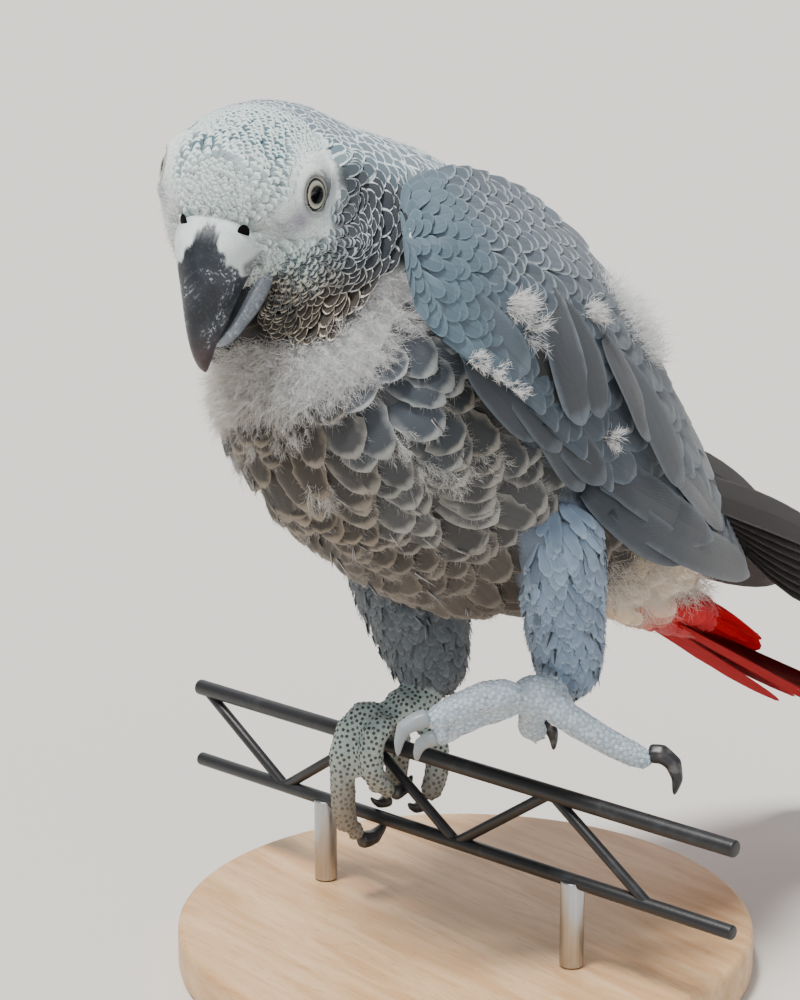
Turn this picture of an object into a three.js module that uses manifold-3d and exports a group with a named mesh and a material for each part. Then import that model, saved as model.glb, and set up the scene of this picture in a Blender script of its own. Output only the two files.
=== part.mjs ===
// A grey parrot at life size, standing on its right foot on a cut length of trussed wire edge,
// with its left foot lifted and its head lowered and turned to its left.
// Millimetres, +Z up. The bird faces -Y, and its left side is +X.
// The origin is the centre of the underside of the round stand.
import * as THREE from 'three';
import { mergeVertices } from 'three/addons/utils/BufferGeometryUtils.js';
import Module from 'manifold-3d';

const wasm = await Module();
wasm.setup();

// ---------------------------------------------------------------- driving dimensions
const GAP = 0.3; // between pieces that touch

const BASE_RADIUS = 62;
const BASE_THICKNESS = 10;
const BASE_EDGE = 1.5;
const BASE_SIDES = 30;
const ROD_RADIUS = 2.5;
const ROD_SPACING = 70;

const PERCH_HEIGHT = 46; // centre of the upper rail above the floor
const PERCH_BACK = -6; // the upper rail's place along Y
const PERCH_TURN = THREE.MathUtils.degToRad(8); // the bird stands a little askew on its perch
const PERCH_LENGTH = 150;
const RAIL_RADIUS = 1.75;
const LOWER_RAIL_RADIUS = 1.5;
const STRUT_RADIUS = 1.15;
const STRUT_SIDES = 6;
const TRUSS_DEPTH = 17.3; // between the two rails' centres
const STRUT_PITCH = 25.5; // one leg of the zigzag along the rail
const STRUT_START = -73;
const STRUTS = 5;

const HEAD_CENTRE = new THREE.Vector3(-2, -49, 126); // midway between the eyes
const HEAD_TURN = THREE.MathUtils.degToRad(32); // to the bird's left
const HEAD_BOW = THREE.MathUtils.degToRad(20);
const HEAD_TILT = THREE.MathUtils.degToRad(8); // left side down
const EYE_SPREAD = 12.6; // each eye's centre from the middle of the head
const EYE_RADIUS = 4.3;
const PARTING = 13; // the head and neck part this far behind the eyes

// ---------------------------------------------------------------- materials
const surface = (color, roughness, metalness = 0) =>
  new THREE.MeshStandardMaterial({ color, roughness, metalness });

const LOOKS = {
  pale: () => surface(0xd4dcda, 0.9),
  grey: () => surface(0x8b8d90, 0.9),
  breast: () => surface(0x8a847d, 0.9),
  wing: () => surface(0x77808a, 0.8),
  dark: () => surface(0x2e2a2c, 0.7),
  red: () => surface(0xc4151c, 0.8),
  down: () => surface(0xe2ddd6, 1.0),
  bill: () => surface(0x3d3d43, 0.5),
  eye: () => surface(0xd9d8c6, 0.2),
  foot: () => surface(0x9a9a98, 0.85),
  claw: () => surface(0x2b2a2c, 0.5),
  wire: () => surface(0x1d1e20, 0.5),
  rod: () => surface(0xa9abad, 0.35, 0.9),
  base: () => surface(0xc2a27a, 0.55),
};

// ---------------------------------------------------------------- solids
function solid(geometry) {
  geometry.deleteAttribute('normal');
  geometry.deleteAttribute('uv');
  const merged = mergeVertices(geometry, 1e-4);
  const vertProperties = new Float32Array(merged.attributes.position.array);
  const triVerts = new Uint32Array(merged.index.array);
  if (signedVolume(vertProperties, triVerts) < 0) {
    for (let i = 0; i < triVerts.length; i += 3) {
      [triVerts[i + 1], triVerts[i + 2]] = [triVerts[i + 2], triVerts[i + 1]];
    }
  }
  return new wasm.Manifold(new wasm.Mesh({ numProp: 3, vertProperties, triVerts }));
}

function signedVolume(points, triangles) {
  const corner = [new THREE.Vector3(), new THREE.Vector3(), new THREE.Vector3()];
  let total = 0;
  for (let i = 0; i < triangles.length; i += 3) {
    corner.forEach((c, k) => c.fromArray(points, 3 * triangles[i + k]));
    total += corner[0].dot(corner[1].cross(corner[2]));
  }
  return total;
}

const largest = (shape) =>
  shape.decompose().reduce((best, piece) => (piece.volume() > best.volume() ? piece : best));

const joined = (shapes) => shapes.reduce((all, one) => all.add(one));

// A closed skin round a smooth path. Each station is
// [x, y, z, half width, half height above, half height below]; "up" is the way its height
// points, at the start and at the end of the path. "arch" bends each section down by
// arch * s^2 at s from its middle, and "caps" are the shares of the path that round off.
function loft(stations, { up, upEnd = up, sides = 20, rings = 14, grow = 0, arch = 0,
  caps = [0.15, 0.15] }) {
  const path = new THREE.CatmullRomCurve3(stations.map(([x, y, z]) => new THREE.Vector3(x, y, z)));
  const sizes = new THREE.CatmullRomCurve3(
    stations.map(([, , , w, above = w, below = above]) => new THREE.Vector3(w, above, below)));
  const geometry = new THREE.SphereGeometry(1, sides, rings);
  const place = geometry.attributes.position;
  const lean = new THREE.Vector3();
  for (let i = 0; i < place.count; i++) {
    const point = new THREE.Vector3().fromBufferAttribute(place, i);
    const around = Math.atan2(point.z, point.x);
    const t = THREE.MathUtils.clamp((1 - point.y) / 2, 0, 1);
    const tangent = path.getTangent(t);
    lean.fromArray(up).lerp(new THREE.Vector3().fromArray(upEnd), t);
    const height = lean.clone().addScaledVector(tangent, -lean.dot(tangent)).normalize();
    const across = new THREE.Vector3().crossVectors(height, tangent);
    const size = sizes.getPoint(t);
    const edge = Math.min(t / caps[0], (1 - t) / caps[1], 1);
    const round = Math.sqrt(Math.max(0, 1 - (1 - edge) ** 2));
    const reach = round > 1e-3 ? 1 : 0;
    const s = (size.x * round + grow * reach) * Math.cos(around);
    const tall = Math.sin(around) > 0 ? size.y : size.z;
    const h = (tall * round + grow * reach) * Math.sin(around);
    const centre = path.getPoint(t);
    if (!reach) centre.addScaledVector(tangent, t < 0.5 ? -grow : grow);
    centre.addScaledVector(across, s).addScaledVector(height, h - arch * s * s);
    place.setXYZ(i, centre.x, centre.y, centre.z);
  }
  return solid(geometry);
}

const mirrored = (stations, side) =>
  stations.map(([x, ...rest]) => [side * x, ...rest]);

const flipped = ([x, y, z], side) => [side * x, y, z];

function ball(centre, radius, sides = 10, rings = 7) {
  return solid(new THREE.SphereGeometry(radius, sides, rings).translate(...centre));
}

function rod(from, to, radius, sides = 12) {
  const start = new THREE.Vector3(...from);
  const way = new THREE.Vector3(...to).sub(start);
  const geometry = new THREE.CylinderGeometry(radius, radius, way.length(), sides);
  const turn = new THREE.Quaternion().setFromUnitVectors(
    new THREE.Vector3(0, 1, 0), way.clone().normalize());
  geometry.applyQuaternion(turn);
  geometry.translate(...start.addScaledVector(way, 0.5));
  return solid(geometry);
}

// Everything on the far side of a plane, as a large block.
function beyond(point, normal, reach = 200) {
  const geometry = new THREE.BoxGeometry(reach, reach, reach).translate(0, reach / 2, 0);
  geometry.applyQuaternion(new THREE.Quaternion().setFromUnitVectors(
    new THREE.Vector3(0, 1, 0), normal.clone().normalize()));
  geometry.translate(...point);
  return solid(geometry);
}

// ---------------------------------------------------------------- head frame
// forward, left and crown are the head's own axes; inHead turns [forward, left, up] into a point.
const level = new THREE.Vector3(Math.cos(HEAD_TURN), Math.sin(HEAD_TURN), 0);
const forward = new THREE.Vector3(
  Math.sin(HEAD_TURN) * Math.cos(HEAD_BOW),
  -Math.cos(HEAD_TURN) * Math.cos(HEAD_BOW),
  -Math.sin(HEAD_BOW));
const upright = new THREE.Vector3().crossVectors(level, forward).negate();
const left = level.clone().multiplyScalar(Math.cos(HEAD_TILT))
  .addScaledVector(upright, -Math.sin(HEAD_TILT));
const crown = upright.clone().multiplyScalar(Math.cos(HEAD_TILT))
  .addScaledVector(level, Math.sin(HEAD_TILT));

const inHead = (f, l, u) => HEAD_CENTRE.clone().addScaledVector(forward, f)
  .addScaledVector(left, l).addScaledVector(crown, u).toArray();

const headStations = (rows) => rows.map(([f, u, ...sizes]) => [...inHead(f, 0, u), ...sizes]);

const HEAD_UP = { up: crown.toArray() };

const skull = (grow) => loft(headStations([
  [-30, -17, 14, 12, 13],
  [-21, -12, 19.5, 17.5, 16],
  [-10, -8, 20.5, 18, 16],
  [0, -6, 16.8, 17.2, 15.5],
  [8, -6.5, 13, 14.3, 13],
  [12.5, -7.5, 9.6, 9.1, 11.5],
  [15.5, -8.5, 7, 4.5, 9],
]), { ...HEAD_UP, sides: 19, rings: 12, caps: [0.22, 0.08], grow });

const upperBill = (grow) => loft(headStations([
  [11, -6, 8, 7.5, 6],
  [17.5, -9, 7.5, 8, 5.5],
  [20.2, -16, 6, 6, 5],
  [20, -24, 3.8, 3.6, 3],
  [18, -31, 1.3, 1.3, 1],
]), { up: forward.toArray(), sides: 14, rings: 11, caps: [0.05, 0.12], grow });

const lowerBill = (grow) => loft(headStations([
  [4, -13, 8.2, 5, 5],
  [8.5, -18, 8, 5, 5],
  [12, -22.5, 6, 3.6, 4],
  [14.2, -26, 3.4, 1.6, 2],
]), { up: forward.toArray(), sides: 12, rings: 8, caps: [0.08, 0.15], grow });

const eye = (side, grow) => ball(inHead(0, side * EYE_SPREAD, 0), EYE_RADIUS + grow);

// ---------------------------------------------------------------- neck and trunk
const UP = [0, 0, 1];

const neckTube = (grow) => loft([
  [-7, -44, 121, 17, 17],
  [-5, -33, 117, 22.5, 20],
  [-2, -21, 109, 26, 24],
  [0, -8, 100, 28.5, 25],
  [0, 6, 92, 27, 23],
], { up: UP, sides: 18, rings: 8, caps: [0.2, 0.2], grow });

const body = (grow) => loft([
  [0, -44, 105, 24, 22, 24],
  [0, -31, 92, 33, 35, 27.5],
  [0, -12, 77, 36.5, 40, 33.5],
  [0, 9, 66.5, 37, 36, 36],
  [0, 30, 56, 32, 30, 29],
  [0, 50, 45, 25, 21, 20],
  [0, 66, 36, 16, 14, 12],
  [0, 78, 29, 9, 8, 7],
], { up: UP, sides: 22, rings: 15, caps: [0.2, 0.12], grow });

// ---------------------------------------------------------------- wings
const WING_OUT = [0.85, -0.1, 0.5];
const WING_OUT_BACK = [0.7, 0.25, 0.65];

const wingPad = (side, grow) => loft(mirrored([
  [32, -38, 118, 12, 4],
  [32, -22, 113, 22, 4],
  [31, 2, 103, 29, 3.5],
  [29.5, 24, 87, 31, 3],
  [26.5, 42, 67, 27, 2.5],
  [24.5, 56, 51, 17, 2],
], side), { up: flipped(WING_OUT, side), upEnd: flipped(WING_OUT_BACK, side), sides: 14,
  rings: 10, arch: 0.0125, caps: [0.25, 0.2], grow });

const secondaries = (side, grow) => loft(mirrored([
  [31, 6, 92, 22, 1.8],
  [30.3, 24, 79, 27, 1.8],
  [28.5, 42, 62, 26, 1.6],
  [26.5, 55, 51.5, 18.5, 1.4],
  [24.5, 64, 44, 8, 1.1],
], side), { up: flipped(WING_OUT_BACK, side), sides: 12, rings: 8, arch: 0.0125,
  caps: [0.15, 0.3], grow });

const PRIMARIES_OUT = [0.9, 0.1, 0.35];

const primaries = (side, grow) => loft(mirrored([
  [25, 42, 56, 14, 1.5],
  [21, 58, 47, 16.5, 1.5],
  [18, 76, 38, 13.5, 1.3],
  [15.5, 93, 31, 12.5, 1.1],
  [13.5, 107, 23, 9, 0.9],
  [12.5, 119, 14, 3, 0.7],
], side), { up: flipped(PRIMARIES_OUT, side), sides: 12, rings: 10, arch: 0.006,
  caps: [0.1, 0.15], grow });

// ---------------------------------------------------------------- tail
const TAIL_UP = [0, 0.46, 0.89];
const TAIL_FEATHERS = 7;
const TAIL_ROOT = { x: 4, y: 52, z: 27 }; // x is how far the outermost feather stands off
const TAIL_TIP = { x: 16, y: 128, z: -12 };
const FEATHER_HALF_WIDTH = 7;
const FEATHER_HALF_THICKNESS = 0.8;

// One tail feather from root to tip, a little bowed; spread runs from -1 to 1 over the fan.
function tailFeather(spread, grow) {
  const outer = spread * spread;
  const root = new THREE.Vector3(TAIL_ROOT.x * spread, TAIL_ROOT.y, TAIL_ROOT.z - Math.abs(spread));
  const tip = new THREE.Vector3(TAIL_TIP.x * spread, TAIL_TIP.y - 8 * outer, TAIL_TIP.z - 4 * outer);
  const station = (share, bow, width, thickness) => [
    ...root.clone().lerp(tip, share).addScaledVector(new THREE.Vector3(...TAIL_UP), bow),
    FEATHER_HALF_WIDTH * width, FEATHER_HALF_THICKNESS * thickness];
  return loft([
    station(0, 0, 0.55, 1),
    station(0.35, 0.6, 1, 1),
    station(0.7, 0.7, 1, 1),
    station(1, 0, 0.5, 0.7),
  ], { up: TAIL_UP, grow, sides: 6, rings: 6, caps: [0.1, 0.16] });
}

const tailFan = (grow) => joined(Array.from({ length: TAIL_FEATHERS }, (_, i) =>
  tailFeather(2 * i / (TAIL_FEATHERS - 1) - 1, grow)));

const rump = (grow) => loft([
  [0, 44, 36, 16, 12],
  [0, 56, 28, 14, 9],
  [0, 70, 20, 10, 6],
  [0, 80, 14, 6, 3],
], { up: UP, sides: 14, rings: 8, caps: [0.2, 0.3], grow });

// ---------------------------------------------------------------- legs and feet
const FRONT = [0, -1, 0.2];
const OVER = [0, 0, 1];

const thighs = {
  left: (grow) => loft([
    [33, -1, 64, 8.5, 10],
    [32.5, 1.5, 55, 8.8, 10],
    [30.5, 5, 40, 8.4, 9],
    [28.5, 8.5, 27, 7, 7],
    [27, 10.5, 19, 4.8, 4.8],
  ], { up: FRONT, sides: 12, rings: 9, caps: [0.2, 0.14], grow }),
  right: (grow) => loft([
    [-19.5, 3, 52, 14, 14],
    [-19, 5.5, 38, 14, 13.5],
    [-17.5, 8, 25, 12, 11],
    [-15.5, 9.5, 15, 8.6, 8],
    [-14, 10, 9, 6, 6],
  ], { up: FRONT, sides: 12, rings: 9, caps: [0.2, 0.14], grow }),
};

// Each shank runs from under the thigh's feathers to the ball of the foot.
const shanks = {
  left: (grow) => loft([
    [26.5, 12, 22, 3.8, 3.8],
    [28.5, 6, 21, 3.8, 3.8],
    [31.5, -2, 23, 4.4, 4.4],
    [33, -8, 24, 5, 4.6],
  ], { up: OVER, sides: 12, rings: 8, grow }),
  right: (grow) => loft([
    [-14, 11, 14, 4, 4],
    [-14, 7, 11, 4.2, 4.2],
    [-14.5, 3, 8.2, 5.4, 4.6],
    [-15.5, -2.5, 7, 6, 4.6],
  ], { up: OVER, sides: 12, rings: 8, grow }),
};

const toe = (rows, grow) => loft(rows, {
  up: [0, -0.7, 0.7], sides: 8, rings: 2 * rows.length - 1, caps: [0.14, 0.14], grow });
const claw = (rows, grow) => loft(rows, {
  up: [0, -0.7, 0.7], sides: 6, rings: 6, caps: [0.1, 0.1], grow });

// Toes 2 and 3 point forward, 1 and 4 back; each row of a toe or claw is
// [x, y, z, half width, half thickness]. The right foot's are in the perch's own frame.
const toes = {
  left: {
    1: [[31, -4, 21, 3], [28, -1, 17, 3], [25.5, 1.5, 13.5, 3], [25, 5, 12, 2.6]],
    2: [[31, -8, 22, 3.2], [27, -12.5, 20.5, 3], [23, -17, 17.5, 2.8], [20, -20, 14, 2.5]],
    3: [[33, -8, 24.5, 3.6], [30, -14, 25, 3.5], [27, -20, 22.8, 3.2], [24, -26, 20, 2.7]],
    4: [[34, -4, 23.5, 3.6], [38, 0.5, 19, 3.4], [43, 8, 13.2, 3], [48, 14, 9.4, 2.8]],
  },
  right: {
    1: [[-12, 3, 6.5, 3], [-9.5, 6.6, 3, 3], [-8.5, 7.4, -3, 3], [-8.8, 6.6, -9, 2.9],
      [-9.5, 4.6, -12.5, 2.5]],
    2: [[-13.5, -2, 7, 3.2], [-14, -6.6, 4.4, 3.2], [-14.4, -7.4, -2, 3.1],
      [-13.6, -5.6, -7.5, 2.9], [-12.6, -2, -9.5, 2.5]],
    3: [[-15.5, -1, 7.2, 3.4], [-20, -5.4, 6.6, 3.3], [-21.4, -8.6, 0, 3.2],
      [-21.4, -8.6, -9, 3.1], [-21.8, -7.4, -17, 3], [-21.4, -2.5, -21.8, 2.7]],
    4: [[-16, 3, 6.5, 3.2], [-19.5, 7, 3.5, 3.1], [-20.5, 8, -4, 3], [-20.5, 7, -11, 2.9],
      [-20.5, 4.4, -14.5, 2.5]],
  },
};

const claws = {
  left: {
    1: [[25, 5.5, 12.3, 1.7], [25.3, 8.3, 10.8, 1.3], [25.8, 8.3, 7, 0.4]],
    2: [[20, -20.5, 14, 1.7], [17.8, -22.8, 12.5, 1.3], [17, -23, 9, 0.4]],
    3: [[24, -26.5, 20, 1.9], [21.8, -30.5, 18.2, 1.5], [21, -31.2, 13, 0.4]],
    4: [[48, 14.5, 9.8, 2], [51, 16.3, 9.7, 1.8], [53, 16.8, 7, 1.3], [53, 16, 3, 0.4]],
  },
  right: {
    1: [[-9.5, 4.2, -12.8, 1.6], [-10, 1.4, -13.6, 1.1], [-10.2, -0.6, -12, 0.4]],
    2: [[-12.5, -1.6, -9.5, 1.6], [-12, 1.4, -9, 1.2], [-11.8, 3.4, -6.6, 0.4]],
    3: [[-21.4, -2, -22, 1.9], [-21, 1.8, -22.2, 1.5], [-20.6, 5, -19.4, 0.4]],
    4: [[-20.5, 4, -14.8, 1.7], [-20.4, 1, -15, 0.9], [-20.4, -1.4, -13, 0.4]],
  },
};

// ---------------------------------------------------------------- perch and stand
const onPerch = ([x, y, z, ...rest]) => [
  x * Math.cos(PERCH_TURN) - y * Math.sin(PERCH_TURN),
  x * Math.sin(PERCH_TURN) + y * Math.cos(PERCH_TURN),
  z, ...rest];

const rail = (z, radius) =>
  rod(onPerch([-PERCH_LENGTH / 2, 0, z]), onPerch([PERCH_LENGTH / 2, 0, z]), radius);

function strut(i, radius) {
  const x = STRUT_START + i * STRUT_PITCH;
  const [from, to] = i % 2 ? [-TRUSS_DEPTH, 0] : [0, -TRUSS_DEPTH];
  return rod(onPerch([x, 0, from]), onPerch([x + STRUT_PITCH, 0, to]), radius, STRUT_SIDES);
}

function post(end, radius) {
  const x = end * ROD_SPACING / 2;
  const floor = BASE_THICKNESS + GAP - PERCH_HEIGHT;
  return rod(onPerch([x, 0, floor]), onPerch([x, 0, -TRUSS_DEPTH]), radius);
}

function disc() {
  const profile = [
    [0, 0], [BASE_RADIUS - BASE_EDGE, 0], [BASE_RADIUS, BASE_EDGE],
    [BASE_RADIUS, BASE_THICKNESS - BASE_EDGE], [BASE_RADIUS - BASE_EDGE, BASE_THICKNESS],
    [0, BASE_THICKNESS],
  ];
  const points = profile.map(([r, z]) => new THREE.Vector2(r, z));
  return solid(new THREE.LatheGeometry(points, BASE_SIDES).rotateX(Math.PI / 2));
}

// ---------------------------------------------------------------- assembly
const group = new THREE.Group();
const bird = new THREE.Group();
bird.position.set(0, PERCH_BACK, PERCH_HEIGHT);
group.add(bird);

function show(parent, name, shape, look) {
  const { vertProperties, triVerts } = shape.getMesh();
  const geometry = new THREE.BufferGeometry();
  geometry.setAttribute('position', new THREE.BufferAttribute(vertProperties, 3));
  geometry.setIndex(new THREE.BufferAttribute(triVerts, 1));
  const mesh = new THREE.Mesh(geometry, LOOKS[look]());
  mesh.name = name;
  parent.add(mesh);
}

// Each piece in turn gives way to all those before it, by the gap.
const before = [];
function add(name, look, make) {
  const shape = before.reduce((left, earlier) => left.subtract(earlier), make(0));
  show(bird, name, largest(shape), look);
  before.push(make(GAP));
}

const headAndNeck = (grow) => skull(grow).add(neckTube(grow));
const inFront = (grow) => beyond(inHead(-PARTING - grow, 0, 0), forward);

const sides = { left: 1, right: -1 };
const eachSide = (task) => Object.entries(sides).forEach(([name, side]) => task(name, side));

eachSide((name, side) => add(`eye_${name}`, 'eye', (grow) => eye(side, grow)));
add('trunk', 'breast', body);
add('head', 'pale', (grow) => headAndNeck(grow).intersect(inFront(grow)));
add('neck', 'grey', headAndNeck);
add('bill_upper', 'bill', upperBill);
add('bill_lower', 'bill', lowerBill);
eachSide((name, side) => add(`wing_${name}_coverts`, 'wing', (grow) => wingPad(side, grow)));
eachSide((name) => add(`thigh_${name}`, 'grey', thighs[name]));
eachSide((name, side) => {
  add(`wing_${name}_secondaries`, 'wing', (grow) => secondaries(side, grow));
  add(`wing_${name}_primaries`, 'dark', (grow) => primaries(side, grow));
});
add('tail_coverts', 'down', rump);
add('tail_feathers', 'red', tailFan);

add('perch_rail_upper', 'wire', (grow) => rail(0, RAIL_RADIUS + grow));
add('perch_rail_lower', 'wire', (grow) => rail(-TRUSS_DEPTH, LOWER_RAIL_RADIUS + grow));
for (let i = 0; i < STRUTS; i++) {
  add(`perch_strut_${i + 1}`, 'wire', (grow) => strut(i, STRUT_RADIUS + grow));
}
eachSide((name) => {
  const placed = (rows) => (name === 'right' ? rows.map(onPerch) : rows);
  add(`shank_${name}`, 'foot', shanks[name]);
  for (const n of [3, 2, 4, 1]) {
    add(`toe_${name}_${n}`, 'foot', (grow) => toe(placed(toes[name][n]), grow));
    add(`claw_${name}_${n}`, 'claw', (grow) => claw(placed(claws[name][n]), grow));
  }
});

[-1, 1].forEach((end, i) => {
  add(`stand_rod_${i + 1}`, 'rod', (grow) => post(end, ROD_RADIUS + grow));
});
show(group, 'stand_base', disc(), 'base');

export default group;
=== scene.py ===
"""A grey parrot at life size on a cut length of wire perch and a plain display stand.

Sizes are in millimetres in the bird's own frame, whose origin is the middle of the upper rail:
the bird faces -Y, its left is +X, and up is +Z. They turn to metres when a mesh is made.
"""

import math

import bmesh
import bpy
import numpy as np
from mathutils import Matrix, Vector
from mathutils.bvhtree import BVHTree
from mathutils.kdtree import KDTree


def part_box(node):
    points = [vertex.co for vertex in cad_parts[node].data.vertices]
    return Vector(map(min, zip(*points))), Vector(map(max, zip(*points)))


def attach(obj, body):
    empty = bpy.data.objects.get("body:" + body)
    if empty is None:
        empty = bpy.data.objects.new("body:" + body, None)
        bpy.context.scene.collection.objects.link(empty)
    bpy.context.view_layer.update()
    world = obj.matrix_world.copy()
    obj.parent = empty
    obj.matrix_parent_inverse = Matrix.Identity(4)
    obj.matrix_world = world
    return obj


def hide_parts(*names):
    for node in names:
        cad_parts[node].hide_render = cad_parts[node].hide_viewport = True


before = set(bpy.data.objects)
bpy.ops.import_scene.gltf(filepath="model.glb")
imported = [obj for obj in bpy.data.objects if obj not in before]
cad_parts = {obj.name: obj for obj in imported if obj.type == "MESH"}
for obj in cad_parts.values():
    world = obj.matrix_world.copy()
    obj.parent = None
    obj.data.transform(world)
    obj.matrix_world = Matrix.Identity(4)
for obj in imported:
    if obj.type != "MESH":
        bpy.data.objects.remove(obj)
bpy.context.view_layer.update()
bpy.ops.object.select_all(action="DESELECT")

MM = 0.001
chance = np.random.default_rng(7)


def node_middle(name):
    low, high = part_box(name)
    return np.array((low + high) / 2) / MM


# ---------------------------------------------------------------- frames
BIRD = node_middle("perch_rail_upper")
HEAD = (node_middle("eye_left") + node_middle("eye_right")) / 2 - BIRD
HEAD_TURN = math.radians(32)  # to the bird's left
HEAD_BOW = math.radians(20)
HEAD_TILT = math.radians(8)  # left side down
LEVEL = np.array([math.cos(HEAD_TURN), math.sin(HEAD_TURN), 0])
FORWARD = np.array([
    math.sin(HEAD_TURN) * math.cos(HEAD_BOW),
    -math.cos(HEAD_TURN) * math.cos(HEAD_BOW),
    -math.sin(HEAD_BOW),
])
UPRIGHT = np.cross(FORWARD, LEVEL)
LEFT = math.cos(HEAD_TILT) * LEVEL - math.sin(HEAD_TILT) * UPRIGHT
CROWN = math.cos(HEAD_TILT) * UPRIGHT + math.sin(HEAD_TILT) * LEVEL
HEAD_AXES = np.array([FORWARD, LEFT, CROWN])


def in_head(f, l, u):
    return HEAD + f * FORWARD + l * LEFT + u * CROWN


def head_place(points):
    """Forward, left and up from midway between the eyes."""
    return (np.asarray(points) - HEAD) @ HEAD_AXES.T


def smooth(low, high, x):
    t = np.clip((np.asarray(x, float) - low) / (high - low), 0, 1)
    return t * t * (3 - 2 * t)


def unit(v):
    v = np.asarray(v, float)
    return v / np.maximum(np.linalg.norm(v, axis=-1, keepdims=True), 1e-9)


PERCH_TURN = math.radians(8)
ALONG = np.array([math.cos(PERCH_TURN), math.sin(PERCH_TURN), 0])  # the way the wire runs


# ---------------------------------------------------------------- colour and nodes
def linear(hexa):
    """An sRGB hex colour as linear red, green and blue."""
    parts = np.array([int(hexa[i:i + 2], 16) for i in (1, 3, 5)]) / 255
    return np.where(parts <= 0.04045, parts / 12.92, ((parts + 0.055) / 1.055) ** 2.4)


def rgba(hexa):
    return (*linear(hexa), 1)


def blend(a, b, share):
    """Colours a and b mixed by a share for each point."""
    share = np.asarray(share, float)[..., None]
    return np.asarray(a) * (1 - share) + np.asarray(b) * share


def add(tree, kind, inputs=None, **settings):
    """Adds a node with its settings and links, and returns its outputs; each input is a value
    or another node's output."""
    made = tree.nodes.new("ShaderNode" + kind)
    for name, value in settings.items():
        setattr(made, name, value)
    for name, value in (inputs or {}).items():
        if isinstance(value, bpy.types.NodeSocket):
            tree.links.new(value, made.inputs[name])
        else:
            made.inputs[name].default_value = value
    return made.outputs


EASED = {"interpolation_type": "SMOOTHSTEP"}


def settle(piece, material, slot, *nodes):
    """Gives a finished piece its material and the body it rides on, and hides the nodes of the
    CAD that it stands for. slot is not used."""
    piece.data.materials.append(material)
    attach(piece, "root")
    if nodes:
        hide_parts(*nodes)


def new_material(name, **surface):
    """A material with one Principled shader; returns it, its tree and the shader."""
    material = bpy.data.materials.new(name)
    material.use_nodes = True
    shader = material.node_tree.nodes["Principled BSDF"]
    for socket, value in surface.items():
        shader.inputs[socket.replace("_", " ")].default_value = value
    return material, material.node_tree, shader


def marked(tree, base, pattern, start, end, share, colour):
    """A colour that turns to another, by a share at most, as a pattern goes from start to end."""
    amount = add(tree, "MapRange", {0: pattern, 1: start, 2: end, 3: 0.0, 4: share}, **EASED)[0]
    return add(tree, "Mix", {0: amount, 6: base, 7: colour}, data_type="RGBA")[2]


def surfaced(tree, shader, colour, height=None, strength=0.3, distance=0.0001):
    """Joins a colour to a shader, and a height whose bumps are distance metres deep."""
    tree.links.new(colour, shader.inputs["Base Color"])
    if height is not None:
        bump = add(tree, "Bump", {"Strength": strength, "Distance": distance, "Height": height})
        tree.links.new(bump[0], shader.inputs["Normal"])


# ---------------------------------------------------------------- meshes
def mesh_object(name, points, faces, sizes=None):
    """A mesh from points in millimetres; faces are rows of four, or a flat list cut by sizes."""
    mesh = bpy.data.meshes.new(name)
    points = np.asarray(points, np.float32)
    corners = np.asarray(faces, np.int32).ravel()
    sizes = np.full(len(corners) // 4, 4) if sizes is None else np.asarray(sizes)
    mesh.vertices.add(len(points))
    mesh.vertices.foreach_set("co", ((points + BIRD) * MM).astype(np.float32).ravel())
    mesh.loops.add(len(corners))
    mesh.loops.foreach_set("vertex_index", corners)
    mesh.polygons.add(len(sizes))
    starts = np.concatenate([[0], np.cumsum(sizes)[:-1]])
    mesh.polygons.foreach_set("loop_start", starts.astype(np.int32))
    mesh.update(calc_edges=True)
    mesh.polygons.foreach_set("use_smooth", np.ones(len(sizes), bool))
    made = bpy.data.objects.new(name, mesh)
    bpy.context.scene.collection.objects.link(made)
    return made


def ring_faces(rows, sides):
    """The numbers of the points in rows of rings, the same turned by one, and the corners of the
    four-sided faces that join ring to ring."""
    index = np.arange(rows * sides).reshape(rows, sides)
    turned = np.roll(index, -1, 1)
    quads = np.stack([index[:-1], index[1:], turned[1:], turned[:-1]], -1).reshape(-1)
    return index, turned, quads


def remeshed(piece, voxel):
    """Makes a piece one closed skin of small even faces."""
    bpy.context.view_layer.objects.active = piece
    remesh = piece.modifiers.new("one_skin", "REMESH")
    remesh.mode = "VOXEL"
    remesh.voxel_size = voxel * MM
    bpy.ops.object.modifier_apply(modifier="one_skin")


def paint(mesh, name, colours):
    """Stores a colour for each point."""
    colours = np.asarray(colours, np.float32)
    if colours.shape[1] == 3:
        colours = np.concatenate([colours, np.ones((len(colours), 1), np.float32)], 1)
    mesh.attributes.new(name, "FLOAT_COLOR", "POINT").data.foreach_set("color", colours.ravel())


def chart(mesh, name, places):
    """Stores a UV place for each point."""
    corners = np.empty(len(mesh.loops), np.int32)
    mesh.loops.foreach_get("vertex_index", corners)
    layer = mesh.uv_layers.new(name=name)
    layer.data.foreach_set("uv", np.asarray(places, np.float32)[corners].ravel())


def points_of(mesh):
    points = np.empty(len(mesh.vertices) * 3, np.float32)
    mesh.vertices.foreach_get("co", points)
    return points.reshape(-1, 3).astype(float) / MM - BIRD


def normals_of(mesh):
    normals = np.empty(len(mesh.vertices) * 3, np.float32)
    mesh.vertex_normals.foreach_get("vector", normals)
    return normals.reshape(-1, 3).astype(float)


def set_points(mesh, points):
    mesh.vertices.foreach_set("co", ((points + BIRD) * MM).astype(np.float32).ravel())
    mesh.update()


def edge_ends(mesh):
    ends = np.empty(len(mesh.edges) * 2, np.int32)
    mesh.edges.foreach_get("vertices", ends)
    return ends.reshape(-1, 2)


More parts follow.
